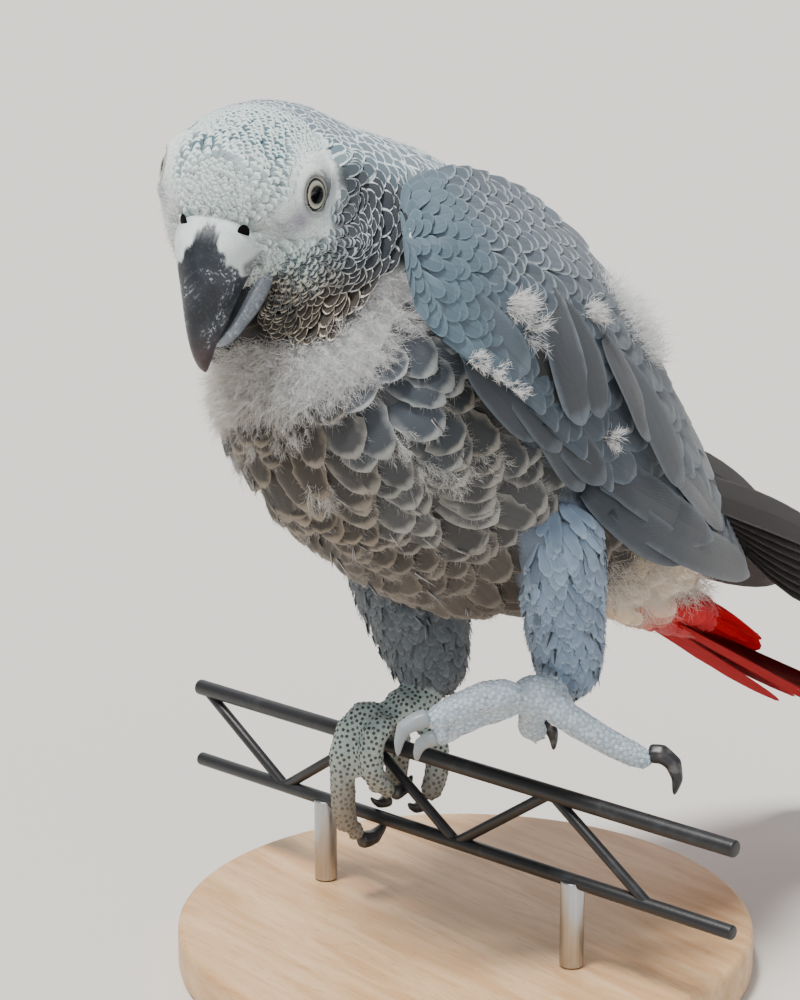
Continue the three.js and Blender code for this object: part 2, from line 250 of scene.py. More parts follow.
def averaged(values, ends, rounds, share=0.5):
    """Moves each point's value towards the mean of its neighbours'."""
    count = len(values)
    degree = np.maximum(np.bincount(ends.ravel(), minlength=count), 1)[:, None]
    for _ in range(rounds):
        total = np.zeros_like(values)
        for k in range(values.shape[1]):
            total[:, k] = (np.bincount(ends[:, 0], values[ends[:, 1], k], count)
                           + np.bincount(ends[:, 1], values[ends[:, 0], k], count))
        values = values * (1 - share) + total / degree * share
    return values


def node_tree_of(*names):
    """The triangles of some CAD nodes, for casting rays at."""
    points, triangles, count = [], [], 0
    for name in names:
        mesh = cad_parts[name].data
        mesh.calc_loop_triangles()
        points.append(points_of(mesh))
        corners = np.empty(len(mesh.loop_triangles) * 3, np.int32)
        mesh.loop_triangles.foreach_get("vertices", corners)
        triangles.append(corners.reshape(-1, 3) + count)
        count += len(mesh.vertices)
    return BVHTree.FromPolygons(np.concatenate(points).tolist(),
                                np.concatenate(triangles).tolist())


# ---------------------------------------------------------------- the skin
PARTS = {  # the nodes of flesh, and how deep the coat is over each
    "head": (["head"], 0.7),
    "neck": (["neck"], 1.6),
    "trunk": (["trunk"], 2.6),
    "wing_left": (["wing_left_coverts"], 1.3),
    "wing_right": (["wing_right_coverts"], 1.3),
    "thigh_left": (["thigh_left"], 1.3),
    "thigh_right": (["thigh_right"], 1.5),
    "rump": (["tail_coverts"], 1.8),
    "foot_left": (["shank_left"] + [f"toe_left_{n}" for n in (1, 2, 3, 4)], 0.25),
    "foot_right": (["shank_right"] + [f"toe_right_{n}" for n in (1, 2, 3, 4)], 0.25),
}
PART_NAMES = list(PARTS)
FLESH = [node for nodes, depth in PARTS.values() for node in nodes]
CLOSING = 0.35  # each solid grows this much, so that neighbours join
VOXEL = 1.0
BARE_DEPTH = 0.35  # how deep the skin lies where it is bare
EYE_SIDES = {"left": 1, "right": -1}
EYE_PLACE = (1.14, 13.3, 0.47)  # forward, out and up from the middle of the head
EYE_WAY = (0.379, 0.887, 0.259)  # the way an eye looks, in the same axes
EYE_BACK = (-0.92, 0.393, 0.0)
EYE_OVER = (-0.102, -0.238, 0.966)
EYE_RADIUS = 4.6
EYE_DEPTH = 0.6  # an eye is flatter than a ball
EYE_LEVEL = 2.45  # how high the face stands over an eye's centre


def eye_frame(sign):
    """An eye's centre, the way it looks, and the ways back and up over the face from it."""
    axes = [f * FORWARD + sign * l * LEFT + u * CROWN for f, l, u in (EYE_WAY, EYE_BACK, EYE_OVER)]
    f, l, u = EYE_PLACE
    return in_head(f, sign * l, u), *axes


def from_eye(points, sign):
    """How far points stand over an eye's centre, how far from its axis, and back and up."""
    centre, way, back, over = eye_frame(sign)
    off = points - centre
    rise = off @ way
    return rise, np.linalg.norm(off - rise[:, None] * way, axis=1), off @ back, off @ over


def lid_ring(back, over):
    """How far out a place is on the ovals that the lids make, taller than they are wide."""
    return np.hypot((back - 0.06 * over) / 0.93, over / 1.09)


def bare_face(points, margin=0.0):
    """1 on the bare skin that runs slanting from the bill past the eye, 0 where feathers start.
    A margin widens it all round."""
    bare = np.zeros(len(points))
    for sign in EYE_SIDES.values():
        rise, ring, back, over = from_eye(points, sign)
        top = np.interp(back, [-13, -6.8, -2.8, 2, 6.5, 10], [-0.4, 1.5, 4.8, 6.9, 6.7, 5.8])
        low = np.interp(back, [-13.4, -8.8, -2.9, -0.2, 1, 2.5, 3.6, 6, 7.6, 9],
                        [-4, -6.8, -8.1, -7.5, -6.5, -4.6, -2.9, -2.2, 3.4, 5.4])
        inside = smooth(-0.4, 0.4, top + margin - over) * smooth(-0.4, 0.4, over + margin - low)
        inside = inside * smooth(-13.9, -12.9, back) * smooth(10.9, 9.9, back) * (rise > -7)
        bare = np.maximum(bare, inside)
    return bare


def build_skin():
    """One closed skin over all the flesh: the solids grown a little, joined and smoothed."""
    copies = []
    for name in FLESH:
        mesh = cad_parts[name].data.copy()
        shape = bmesh.new()
        shape.from_mesh(mesh)
        bmesh.ops.remove_doubles(shape, verts=shape.verts, dist=1e-6)
        shape.normal_update()
        for vertex in shape.verts:
            vertex.co += vertex.normal * CLOSING * MM
        shape.to_mesh(mesh)
        shape.free()
        mesh.materials.clear()
        copies.append(bpy.data.objects.new(name + "_copy", mesh))
        bpy.context.scene.collection.objects.link(copies[-1])
        copies[-1].select_set(True)
    bpy.context.view_layer.objects.active = copies[0]
    bpy.ops.object.join()
    skin = bpy.context.object
    skin.name = "parrot_skin"
    remeshed(skin, VOXEL)
    refine(skin)
    bpy.ops.object.select_all(action="DESELECT")
    return skin


def refine(skin):
    """Finer faces round the eyes and the root of the bill."""
    points = points_of(skin.data)
    f, l, u = head_place(points).T
    face = np.zeros(len(points), bool)
    for sign in EYE_SIDES.values():
        face |= np.linalg.norm(points - eye_frame(sign)[0], axis=1) < 8
    bill_base = (f > 6) & (u < 6) & (u > -20) & (np.abs(l) < 12)
    bpy.ops.object.mode_set(mode="EDIT")
    bpy.ops.mesh.select_mode(type="VERT")
    bpy.ops.mesh.select_all(action="DESELECT")
    bpy.ops.object.mode_set(mode="OBJECT")
    skin.data.vertices.foreach_set("select", face | bill_base)
    bpy.ops.object.mode_set(mode="EDIT")
    bpy.ops.mesh.subdivide(number_cuts=2)
    bpy.ops.mesh.vertices_smooth(factor=0.5, repeat=2)
    bpy.ops.object.mode_set(mode="OBJECT")


def nearest_part(points):
    """The index of the part whose solid is closest to each point."""
    trees = [node_tree_of(*nodes) for nodes, depth in PARTS.values()]
    gaps = np.array([[tree.find_nearest(p)[3] for p in points.tolist()] for tree in trees])
    return gaps.argmin(0)


def shape_skin(skin):
    """Smooths the skin, sinks it by the coat's depth, and folds the lids. Returns its points
    and which part each belongs to."""
    mesh = skin.data
    ends = edge_ends(mesh)
    points = points_of(mesh)
    parts = nearest_part(points)
    feet = np.isin(parts, [PART_NAMES.index("foot_left"), PART_NAMES.index("foot_right")])
    calm = averaged(points, ends, 6)
    even = points  # the toes are thin: each round swells them back as much as it shrinks them
    for _ in range(4):
        even = averaged(averaged(even, ends, 1), ends, 1, -0.53)
    points = np.where(feet[:, None], even, calm)
    set_points(mesh, points)
    depth = np.array([PARTS[name][1] for name in PART_NAMES])[parts][:, None]
    depth = averaged(depth, ends, 8)
    bare = bare_face(points)[:, None]
    depth = depth * (1 - bare) + BARE_DEPTH * bare
    points = points - normals_of(mesh) * (depth + CLOSING)
    points = fold_face(points)
    set_points(mesh, points)
    return points, parts


def settled_face(points):
    """Eases the surface round each eye to a shallow dome, so that the eye lies flush in it."""
    for sign in EYE_SIDES.values():
        rise, ring, back, over = from_eye(points, sign)
        level = EYE_LEVEL - 0.022 * ring**2
        share = 0.9 * (1 - smooth(5, 10.5, ring)) * smooth(-5, -2, rise) * (rise < 14)
        points = points + ((level - rise) * share)[:, None] * eye_frame(sign)[1]
    return points


def fold_face(points):
    """Sinks a socket for each eye and raises the lids round it."""
    points = settled_face(points)
    for sign in EYE_SIDES.values():
        rise, ring, back, over = from_eye(points, sign)
        ring = lid_ring(back, over)
        level = np.interp(ring, [0, 2.1, 2.45, 2.75, 3.05, 3.3, 3.65, 5.0],
                          [0.9, 1.2, 1.9, 2.42, 2.48, 2.2, 2.4, 2.3])
        share = (1 - smooth(3.8, 5.5, ring)) * (rise > -3) * (rise < 12)
        points = points + ((level - rise) * share)[:, None] * eye_frame(sign)[1]
    return points


# ---------------------------------------------------------------- tracts
def curve(stations, count):
    """Points evenly along a smooth path through the stations, with their tangents."""
    stations = np.asarray(stations, float)
    gaps = np.linalg.norm(np.diff(stations, axis=0), axis=1)
    knots = np.concatenate([[0], np.cumsum(gaps)])
    slopes = np.gradient(stations, knots, axis=0)
    place = np.linspace(0, knots[-1], count)
    k = np.clip(np.searchsorted(knots, place, side="right") - 1, 0, len(gaps) - 1)
    h = gaps[k][:, None]
    t = ((place - knots[k]) / gaps[k])[:, None]
    points = ((2 * t**3 - 3 * t**2 + 1) * stations[k] + (t**3 - 2 * t**2 + t) * h * slopes[k]
              + (3 * t**2 - 2 * t**3) * stations[k + 1] + (t**3 - t**2) * h * slopes[k + 1])
    return points, unit(np.gradient(points, axis=0))


class Tract:
    """Part of the surface unrolled to a grid: rows follow the lie of the feathers, and columns
    go round the part, or across it where it is open."""

    plot = (0.01, 0.01, 0.98, 0.98)  # its corner, width and height on the bake's map
    spot = None  # one place on the map for all that grows from it

    def __init__(self, grid, outward, closed, calm=3):
        for _ in range(calm):
            grid = self.eased(grid, closed)
        grid = settled_face(grid.reshape(-1, 3)).reshape(grid.shape)
        self.closed = closed
        self.grid = grid
        self.rows, self.columns = grid.shape[:2]
        down = np.gradient(grid, axis=0)
        wide = np.concatenate([grid[:, -1:], grid, grid[:, :1]], 1) if closed else grid
        over = np.gradient(wide, axis=1)
        over = over[:, 1:-1] if closed else over
        normal = unit(np.cross(over, down))
        self.hand = 1 if (normal * outward).sum() > 0 else -1
        self.normal = normal * self.hand
        self.pitch = np.maximum(np.linalg.norm(over, axis=2), 1e-3)
        steps = np.linalg.norm(np.diff(grid, axis=0), axis=2)
        self.run = np.concatenate([np.zeros((1, self.columns)), np.cumsum(steps, 0)])

    @staticmethod
    def eased(grid, closed):
        left, right = np.roll(grid, 1, 1), np.roll(grid, -1, 1)
        if not closed:
            left[:, 0], right[:, -1] = grid[:, 0], grid[:, -1]
        grid = grid * 0.5 + (left + right) * 0.25
        out = grid.copy()
        out[1:-1] = grid[1:-1] * 0.5 + (grid[:-2] + grid[2:]) * 0.25
        return out

    def corners(self, v, c):
        v = np.clip(v, 0, self.rows - 1.001)
        c = np.mod(c, self.columns) if self.closed else np.clip(c, 0, self.columns - 1.001)
        i, j = v.astype(int), np.minimum(c.astype(int), self.columns - 1)
        return i, j, (j + 1) % self.columns, v - i, c - j

    def read(self, values, v, c):
        """A stored value between the grid's points."""
        i, j, k, a, b = self.corners(np.asarray(v, float), np.asarray(c, float))
        if values.ndim == 3:
            a, b = a[..., None], b[..., None]
        return ((values[i, j] * (1 - b) + values[i, k] * b) * (1 - a)
                + (values[i + 1, j] * (1 - b) + values[i + 1, k] * b) * a)

    def further(self, v, c, lengths):
        """The rows that lie the given lengths further on."""
        start = self.read(self.run, v, c)
        j = self.corners(v, c)[1]
        rows = np.arange(self.rows)
        return np.array([np.interp(start[n] + lengths[n], self.run[:, j[n]], rows)
                         for n in range(len(v))])


def outer_point(tree, start, way, reach=45.0):
    """Where a ray from outside, coming back along way, first meets the solid."""
    hit = tree.ray_cast(Vector(start + way * reach), Vector(-way), reach)[0]
    return None if hit is None else np.array(hit)


def fan_rings(origin, axis, axis_end, lean, angles):
    """Cones of rays from one point, that open while their axis turns."""
    share = np.linspace(0, 1, len(angles))[:, None]
    axes = unit(np.asarray(axis) * (1 - share) + np.asarray(axis_end) * share)
    return [(np.asarray(origin, float), -way, np.asarray(lean, float), math.radians(angle))
            for way, angle in zip(axes, angles)]


def path_rings(stations, lean, lean_end, rows):
    """Flat rings of rays along a path."""
    path, tangents = curve(stations, rows)
    share = np.linspace(0, 1, rows)[:, None]
    leans = np.asarray(lean) * (1 - share) + np.asarray(lean_end) * share
    return [(path[i], tangents[i], leans[i], math.pi / 2) for i in range(rows)]


def wrapped(nodes, rings, columns=72, calm=4):
    """A closed tract: each ring of rays has an origin, a way, what its first ray leans to, and
    the angle it opens from where it came."""
    tree = node_tree_of(*nodes)
    around = np.arange(columns) * 2 * math.pi / columns
    radius = np.full(columns, 4.0)
    grid, outward = [], []
    for origin, tangent, lean, angle in rings:
        first = unit(lean - lean.dot(tangent) * tangent)
        second = np.cross(tangent, first)
        ways = (-math.cos(angle) * tangent
                + math.sin(angle) * (np.cos(around)[:, None] * first
                                     + np.sin(around)[:, None] * second))
        hits = []
        for k, way in enumerate(ways):
            hit = outer_point(tree, origin, way)
            radius[k] = radius[k] if hit is None else np.linalg.norm(hit - origin)
            hits.append(origin + way * radius[k])
        grid.append(hits)
        outward.append(ways)
    return Tract(np.array(grid), np.array(outward), True, calm)


def spread_out(nodes, stations, out, out_end, rows=60, columns=25, overrun=0, calm=4):
    """An open tract over a wing: stations are x, y, z and half width, rows run along it."""
    tree = node_tree_of(*nodes)
    stations = np.asarray(stations, float)
    path, tangents = curve(stations[:, :3], rows)
    gaps = np.linalg.norm(np.diff(stations[:, :3], axis=0), axis=1)
    knots = np.concatenate([[0], np.cumsum(gaps)])
    halves = np.interp(np.linspace(0, knots[-1], rows), knots, stations[:, 3])
    grid, outward = [], []
    middle = columns // 2
    for i in range(rows):
        share = i / (rows - 1)
        lean = np.asarray(out) * (1 - share) + np.asarray(out_end) * share
        height = unit(lean - lean.dot(tangents[i]) * tangents[i])
        across = np.cross(height, tangents[i])
        line = [None] * columns
        for k in sorted(range(columns), key=lambda k: abs(k - middle)):
            offset = (k - middle) / middle * halves[i]
            hit = outer_point(tree, path[i] + across * offset, height, 30.0)
            if hit is None or height.dot(hit - path[i]) < -14:
                inner = 1 if k < middle else -1
                near, far = line[min(max(k + inner, 0), columns - 1)], None
                if k != middle and abs(k - middle) > 1:
                    far = line[k + 2 * inner]
                hit = path[i] if near is None else near + (near - far if far is not None else 0)
            line[k] = hit
        grid.append(line)
        outward.append([height] * columns)
    grid, outward = np.array(grid), np.array(outward)
    for _ in range(overrun):
        grid = np.concatenate([grid, 2 * grid[-1:] - grid[-2:-1]])
        outward = np.concatenate([outward, outward[-1:]])
    return Tract(grid, outward, False, calm)


def in_rows(tract, exposure, width, start, end, wander=0.12):
    """Roots in rows like tiles, each row half a place on from the last. Rows are laid twice as
    fine as they need be, and where they crowd together only some of them are kept. exposure
    and width say, at a distance along the tract, what shows of a feather. Returns rows,
    columns, distances and how the rows' gap differs from the mean."""
    mean_run = tract.run.mean(1)
    step = np.maximum(np.gradient(mean_run), 0.05)
    local_step = np.gradient(tract.run, axis=0)
    v, c, s, local = [], [], [], []
    distance, row = start, 0
    while distance < min(end, mean_run[-1]):
        place = np.interp(distance, mean_run, np.arange(tract.rows))
        k = int(place)
        wide = tract.pitch[k]
        total = np.concatenate([[0], np.cumsum(wide if tract.closed else wide[:-1])])
        count = max(int(round(total[-1] / width(distance))), 3)
        steps = np.arange(count) / count
        near_column = np.interp(steps * total[-1], total, np.arange(len(total))).astype(int)
        ratio = np.clip(local_step[k, near_column % tract.columns] / step[k], 0.02, 2.2)
        every = np.exp2(np.floor(np.log2(np.maximum(2.4 / ratio, 1)))).astype(int)
        steps = steps + (0.5 * (row // every % 2) + 0.25) / count
        steps = steps + chance.normal(0, wander / count, count)
        columns = np.interp(steps * total[-1], total, np.arange(len(total)))
        stays = row % every == 0
        drift = chance.normal(0, wander * exposure(distance), count) / step[k]
        v.append((np.full(count, place) + drift)[stays])
        c.append(columns[stays])
        s.append(np.full(stays.sum(), distance))
        local.append(np.clip(ratio * every / 2, 0.6, 1.3)[stays])
        distance += exposure(distance) / 2
        row += 1
    return (np.clip(np.concatenate(v), 0, tract.rows - 1.01), np.concatenate(c),
            np.concatenate(s), np.concatenate(local))


# ---------------------------------------------------------------- feathers
class Coat:
    """Gathers many small pieces and builds them as meshes of a handy size."""

    MOST_TRIANGLES = 185_000

    def __init__(self):
        self.chunks = []

    def put(self, **chunk):
        """Adds points, the corners and sizes of their faces, and for each point a tint, a rim,
        its place on the vane and its place on the bake's map."""
        self.chunks.append(chunk)

    def build(self, name, material, slot, *nodes):
        groups, load = [[]], 0
        for chunk in self.chunks:
            triangles = int((chunk["sizes"] - 2).sum())
            if groups[-1] and load + triangles > self.MOST_TRIANGLES:
                groups.append([])
                load = 0
            groups[-1].append(chunk)
            load += triangles
        for k, group in enumerate(groups):
            settle(self.mesh_of(group, f"{name}_{k + 1}"), material, slot, *nodes)

    @staticmethod
    def mesh_of(chunks, name):
        counts = np.cumsum([0] + [len(chunk["points"]) for chunk in chunks])
        corners = np.concatenate([chunk["corners"] + start
                                  for chunk, start in zip(chunks, counts)])
        whole = {key: np.concatenate([chunk[key] for chunk in chunks])
                 for key in ("points", "sizes", "tint", "rim", "vane", "bake")}
        made = mesh_object(name, whole["points"], corners, whole["sizes"])
        paint(made.data, "tint", whole["tint"])
        paint(made.data, "rim", whole["rim"])
        chart(made.data, "vane", whole["vane"])
        chart(made.data, "OFBake", whole["bake"])
        rims = np.abs(whole["vane"][:, 0] - 0.5) > 0.49
        ends = edge_ends(made.data)
        sharp = made.data.attributes.new("sharp_edge", "BOOLEAN", "EDGE")
        sharp.data.foreach_set("value", rims[ends].all(1))
        return made


PATCH = 0.003  # how wide one feather is on the bake's map
# Each outline is [along, half width, ...]: a feather's share of its length and of its width.
OUTLINES = {
    "scale": ([0, 0.5, 0.82, 1], [0.6, 1, 0.8, 0.3]),
    "round": ([0, 0.35, 0.62, 0.8, 0.92, 1], [0.5, 0.95, 1, 0.86, 0.6, 0.18]),
    "long": ([0, 0.15, 0.35, 0.55, 0.72, 0.85, 0.94, 1],
             [0.45, 0.8, 0.95, 1, 0.95, 0.8, 0.5, 0.12]),
    "flight": ([0, 0.08, 0.18, 0.3, 0.42, 0.54, 0.65, 0.75, 0.83, 0.9, 0.95, 0.98, 1],
               [0.4, 0.6, 0.8, 0.92, 0.98, 1, 1, 0.97, 0.9, 0.74, 0.54, 0.34, 0.12]),
    "pointed": ([0, 0.08, 0.2, 0.35, 0.5, 0.63, 0.74, 0.83, 0.9, 0.95, 1],
                [0.4, 0.62, 0.82, 0.95, 1, 0.96, 0.86, 0.7, 0.5, 0.32, 0.08]),
    "shaggy": ([0, 0.2, 0.38, 0.52, 0.64, 0.74, 0.82, 0.89, 0.95, 1],
               [0.5, 0.85, 0.97, 1, 0.98, 0.92, 0.82, 0.66, 0.45, 0.15]),
}
COLUMNS = {3: [-1, 0, 1], 5: [-1, -0.55, 0, 0.55, 1], 7: [-1, -0.68, -0.34, 0, 0.34, 0.68, 1]}


def each(value, count):
    return np.broadcast_to(np.asarray(value, float), (count,)).copy()


def vanes(coat, tract, v, c, outline, length, half, tint, rim, *, sink=1.0, lift=0.0, camber=0.1,
          thick=0.12, fray=0.0, yaw=0.0, curl=0.0, columns=3, bend=0.0):
    """Lays feathers on a tract from their roots. half is half their width; sink is how deep the
    root lies; lift raises the tip; camber drops the edges; fray notches them."""
    count = len(v)
    along, shape = (np.array(x, float) for x in OUTLINES[outline])
    across = np.array(COLUMNS[columns], float)
    length, half, sink, lift, fray, yaw, curl, bend = (
        each(x, count)[:, None] for x in (length, half, sink, lift, fray, yaw, curl, bend))
    rows = tract.further(v, c, length * along)
    middle = c[:, None] + np.zeros_like(rows)
    pitch = tract.read(tract.pitch, rows, middle)
    middle = middle + (yaw * along + bend * along**2) * length / pitch
    wide = (half * shape)[:, :, None] * across
    notches = chance.random((count, len(along), len(across)))
    wide = wide * (1 - fray[:, :, None] * notches * smooth(0.2, 0.5, along)[:, None])
    places = middle[:, :, None] + wide / pitch[:, :, None]
    sweep = -0.35 * np.abs(wide) * (1 - along[:, None]) ** 0.5
    down_step = np.maximum(np.gradient(tract.run, axis=0), 0.05)
    sweep = sweep / tract.read(down_step, rows, middle)[:, :, None]
    rows3 = rows[:, :, None] + sweep + fray[:, :, None] * (notches - 0.5) * 0.8
    base = tract.read(tract.grid, rows3, places)
    normal = tract.read(tract.normal, rows3, places)
    height = (-sink * (1 - along) ** 1.4 + lift * along**1.5 + curl * along**3)[:, :, None]
    height = height - camber * np.abs(wide) * np.abs(across)
    height = height + fray[:, :, None] * (notches - 0.5) * 0.7
    top = base + normal * height[..., None]
    mid = len(across) // 2
    depth = (thick * (1 - 0.6 * along))[None, :, None]
    under = top[:, :, mid] - normal[:, :, mid] * depth
    ring = np.concatenate([top, under[:, :, None]], 2)
    join_rings(coat, ring, tract.hand, tint, rim, along, np.append(across, 0),
               tract_place(tract, v, c))
    return top


def tract_place(tract, v, c):
    """A root's place on the map of the unrolled skin, where each tract has its own plot."""
    if tract.spot is not None:
        return np.tile(tract.spot, (len(c), 1))
    left, low, wide, high = tract.plot
    return np.stack([left + wide * np.mod(c, tract.columns) / tract.columns,
                     low + high * np.asarray(v) / tract.rows], 1)


def join_rings(coat, ring, hand, tint, rim, along, across, place):
    """Closes rings of points into solid slips: ring is (pieces, stations, round, 3)."""
    count, stations, sides = ring.shape[:3]
    index = np.arange(count * stations * sides).reshape(count, stations, sides)
    turned = np.roll(index, -1, 2)
    quads = np.stack([index[:, :-1], turned[:, :-1], turned[:, 1:], index[:, 1:]], -1)
    if hand < 0:
        quads = quads[..., ::-1]
    quads = quads.reshape(-1, 4)
    caps = np.concatenate([index[:, 0, ::-1 * hand], index[:, -1, ::hand]])
    corners = np.concatenate([quads.ravel(), caps.ravel()])
    sizes = np.concatenate([np.full(len(quads), 4), np.full(len(caps), sides)])
    vane = np.empty((count, stations, sides, 2))
    vane[..., 0] = (across + 1) / 2
    vane[..., 1] = along[:, None]
    bake = place[:, None, None] + (vane - 0.5) * PATCH
    each_point = stations * sides
    coat.put(points=ring.reshape(-1, 3), corners=corners, sizes=sizes,
             tint=np.repeat(as_colours(tint, count), each_point, 0),
             rim=np.repeat(as_colours(rim, count), each_point, 0),
             vane=vane.reshape(-1, 2), bake=bake.reshape(-1, 2))


def as_colours(colour, count):
    colour = np.broadcast_to(np.asarray(colour, float), (count, np.shape(colour)[-1]))
    if colour.shape[1] == 3:
        colour = np.concatenate([colour, np.ones((count, 1))], 1)
    return colour


def slivers(coat, roots, ways, lengths, thick, tint, place, bend=0.3, flat=1.0):
    """Thin tapering barbs that start along ways and bend a little at random."""
    count = len(roots)
    if not count:
        return
    along = np.array([0, 0.55, 1])
    taper = np.array([1, 0.75, 0.12])
    ways = unit(ways)
    droop = unit(chance.normal(0, 1, (count, 3)))
    first = unit(np.cross(ways, droop))
    second = np.cross(ways, first)
    lengths, thick = each(lengths, count), each(thick, count)
    line = (roots[:, None] + ways[:, None] * (lengths[:, None] * along)[..., None]
            + first[:, None] * (bend * lengths[:, None] * along**2)[..., None])
    turn = np.arange(3) * 2 * math.pi / 3
    out = np.cos(turn)[:, None] * first[:, None] + flat * np.sin(turn)[:, None] * second[:, None]
    ring = line[:, :, None] + out[:, None] * (thick[:, None] * taper)[:, :, None, None]
    join_rings(coat, ring, 1, tint, tint, along, np.zeros(3), place)


def fringe(coat, tract, laid, per, reach, thick=0.07, start=0.35):
    """Loose barbs along the edges of the feathers that lay returns."""
    top, v, c, tint = laid["top"], laid["v"], laid["c"], laid["rim"]
    count, stations, across = top.shape[:3]
    if not count:
        return
    which = np.repeat(np.arange(count), per)
    number = len(which)
    side = chance.random(number) < 0.5
    place = (start + (1 - start) * chance.random(number) ** 0.8) * (stations - 1.001)
    k = place.astype(int)
    f = (place - k)[:, None]
    edge = np.where(side, across - 1, 0)
    middle = across // 2
    rim = top[which, k, edge] * (1 - f) + top[which, k + 1, edge] * f
    spine = top[which, k, middle] * (1 - f) + top[which, k + 1, middle] * f
    onward = unit(top[which, k + 1, middle] - top[which, k, middle])
    outward = unit(rim - spine)
    lean = smooth(0.6, 1.0, place / stations)[:, None]
    ways = outward * (0.75 - 0.4 * lean) + onward * (0.7 + 0.4 * lean)
    ways = ways + chance.normal(0, 0.22, (number, 3))
    roots = rim - outward * 0.5
    each_reach = each(reach, count)[which] * chance.uniform(0.4, 1.25, number)
    tint = as_colours(tint, count)[which]
    slivers(coat, roots, ways, each_reach, thick, tint, tract_place(tract, v, c)[which])


def plumes(coat, roots, ways, lengths, tint, place, barbs=16, thick=0.08, spread=0.85):
    """Down: each plume has a thin stem with barbs along it that curl away on all sides."""
    count = len(roots)
    ways = unit(ways)
    lengths = each(lengths, count)
    tint = as_colours(tint, count)
    slivers(coat, roots, ways, lengths, thick, tint, place, bend=0.25)
    which = np.repeat(np.arange(count), barbs)
    place_along = chance.random(len(which)) ** 0.9
    start = roots[which] + ways[which] * (lengths[which] * place_along * 0.8)[:, None]
    start = start + chance.normal(0, 0.15, start.shape)
    out = ways[which] + unit(chance.normal(0, 1, start.shape)) * spread
    reach = lengths[which] * chance.uniform(0.25, 0.6, len(which)) * (1.1 - 0.5 * place_along)
    slivers(coat, start, out, reach, thick * 0.8, tint[which], place[which], bend=0.5)


def nearest_place(tract, point):
    """The row and column of a tract closest to a point."""
    gap = np.linalg.norm(tract.grid - np.asarray(point, float), axis=2)
    return np.unravel_index(gap.argmin(), gap.shape)


def tuft(coat, tract, point, radius, count, length, tint, stand=0.6, way=(0, 0, 0), sink=0.8,
         **shape):
    """A tuft of down rooted on a tract round a point. stand is how far it stands out from
    lying along the body, and way leans it."""
    v0, c0 = nearest_place(tract, point)
    reach = radius * np.sqrt(chance.random(count))
    turn = chance.uniform(0, 2 * math.pi, count)
    step = max(np.linalg.norm(tract.grid[min(v0 + 1, tract.rows - 1), c0]
                              - tract.grid[max(v0 - 1, 0), c0]) / 2, 0.2)
    v = np.clip(v0 + reach * np.cos(turn) / step, 0, tract.rows - 1.01)
    c = c0 + reach * np.sin(turn) / tract.pitch[v0, c0]
    roots = tract.read(tract.grid, v, c)
    normal = unit(tract.read(tract.normal, v, c))
    ahead = unit(tract.read(tract.grid, np.minimum(v + 2, tract.rows - 1.01), c) - roots + 1e-6)
    away = unit(roots - tract.grid[v0, c0] + 1e-6) * (reach / radius)[:, None]
    ways = (normal * stand + ahead * (1 - stand) + away * 0.5 * stand + np.asarray(way, float)
            + chance.normal(0, 0.18, roots.shape))
    lengths = length * chance.uniform(0.6, 1.15, count) * (1 - 0.25 * reach / radius)
    shade = chance.uniform(0.86, 1.04, (count, 1)) * np.asarray(tint)
    plumes(coat, roots - normal * sink, ways, lengths, shade, tract_place(tract, v, c), **shape)


def fuzz(coat, tract, mask, count, length, tint, thick=0.05, lie=0.8, first=0.0, last=1.0,
         clumps=0.0, sink=0.2):
    """Short loose barbs over the part of a tract where the mask, from 0 to 1, lets them grow.
    clumps is how much neighbours lean the same way, and sink how deep they root."""
    v = chance.uniform(first, last, count) * (tract.rows - 2)
    c = chance.uniform(0, tract.columns, count)
    roots = tract.read(tract.grid, v, c)
    grows = chance.random(count) < mask(roots)
    v, c, roots = v[grows], c[grows], roots[grows]
    normal = unit(tract.read(tract.normal, v, c))
    ahead = unit(tract.read(tract.grid, v + 1, c) - roots + 1e-6)
    ways = normal * (1 - lie) + ahead * lie + chance.normal(0, 0.22, roots.shape)
    x, y, z = roots.T
    ways = ways + clumps * np.stack([np.sin(1.9 * x + 1.1 * z), np.sin(1.3 * y + 2.3 * z + 1),
                                     np.sin(2.1 * z + 1.7 * x + 2)], 1) * 0.6
    shade = tint(roots)[0] if callable(tint) else np.ones((len(v), 1)) * np.asarray(tint)
    shade = shade * chance.uniform(0.9, 1.05, (len(v), 1))
    slivers(coat, roots - normal * sink, ways, length * chance.uniform(0.5, 1.3, len(v)), thick,
            np.clip(shade, 0, 1), tract_place(tract, v, c))


def slits(coat, tract, laid, share, length, dark, pale):
    """Dark shafts bared between parted vanes, each with a pale edge beside it."""
    top, v, c = laid["top"], laid["v"], laid["c"]
    pick = (chance.random(len(top)) < share) & (tract.read(tract.grid, v, c)[:, 2] < 90)
    top, v, c = top[pick], v[pick], c[pick]
    count, stations, across = top.shape[:3]
    if not count:
        return
    k = stations // 2
    side = chance.integers(1, across - 1, count)
    rows = np.arange(count)
    roots = top[rows, k, side]
    ways = top[rows, stations - 2, side] - roots
    place = tract_place(tract, v, c)
    up = unit(tract.read(tract.normal, v, c))
    over = unit(np.cross(ways, up))
    lengths = length * chance.uniform(0.6, 1.2, count)
    slivers(coat, roots + up * 0.25, ways, lengths, 0.34, dark, place, bend=0.05, flat=0.4)
    slivers(coat, roots + up * 0.2 + over * 0.45, ways, lengths * 0.9, 0.1, pale, place,
            bend=0.08)


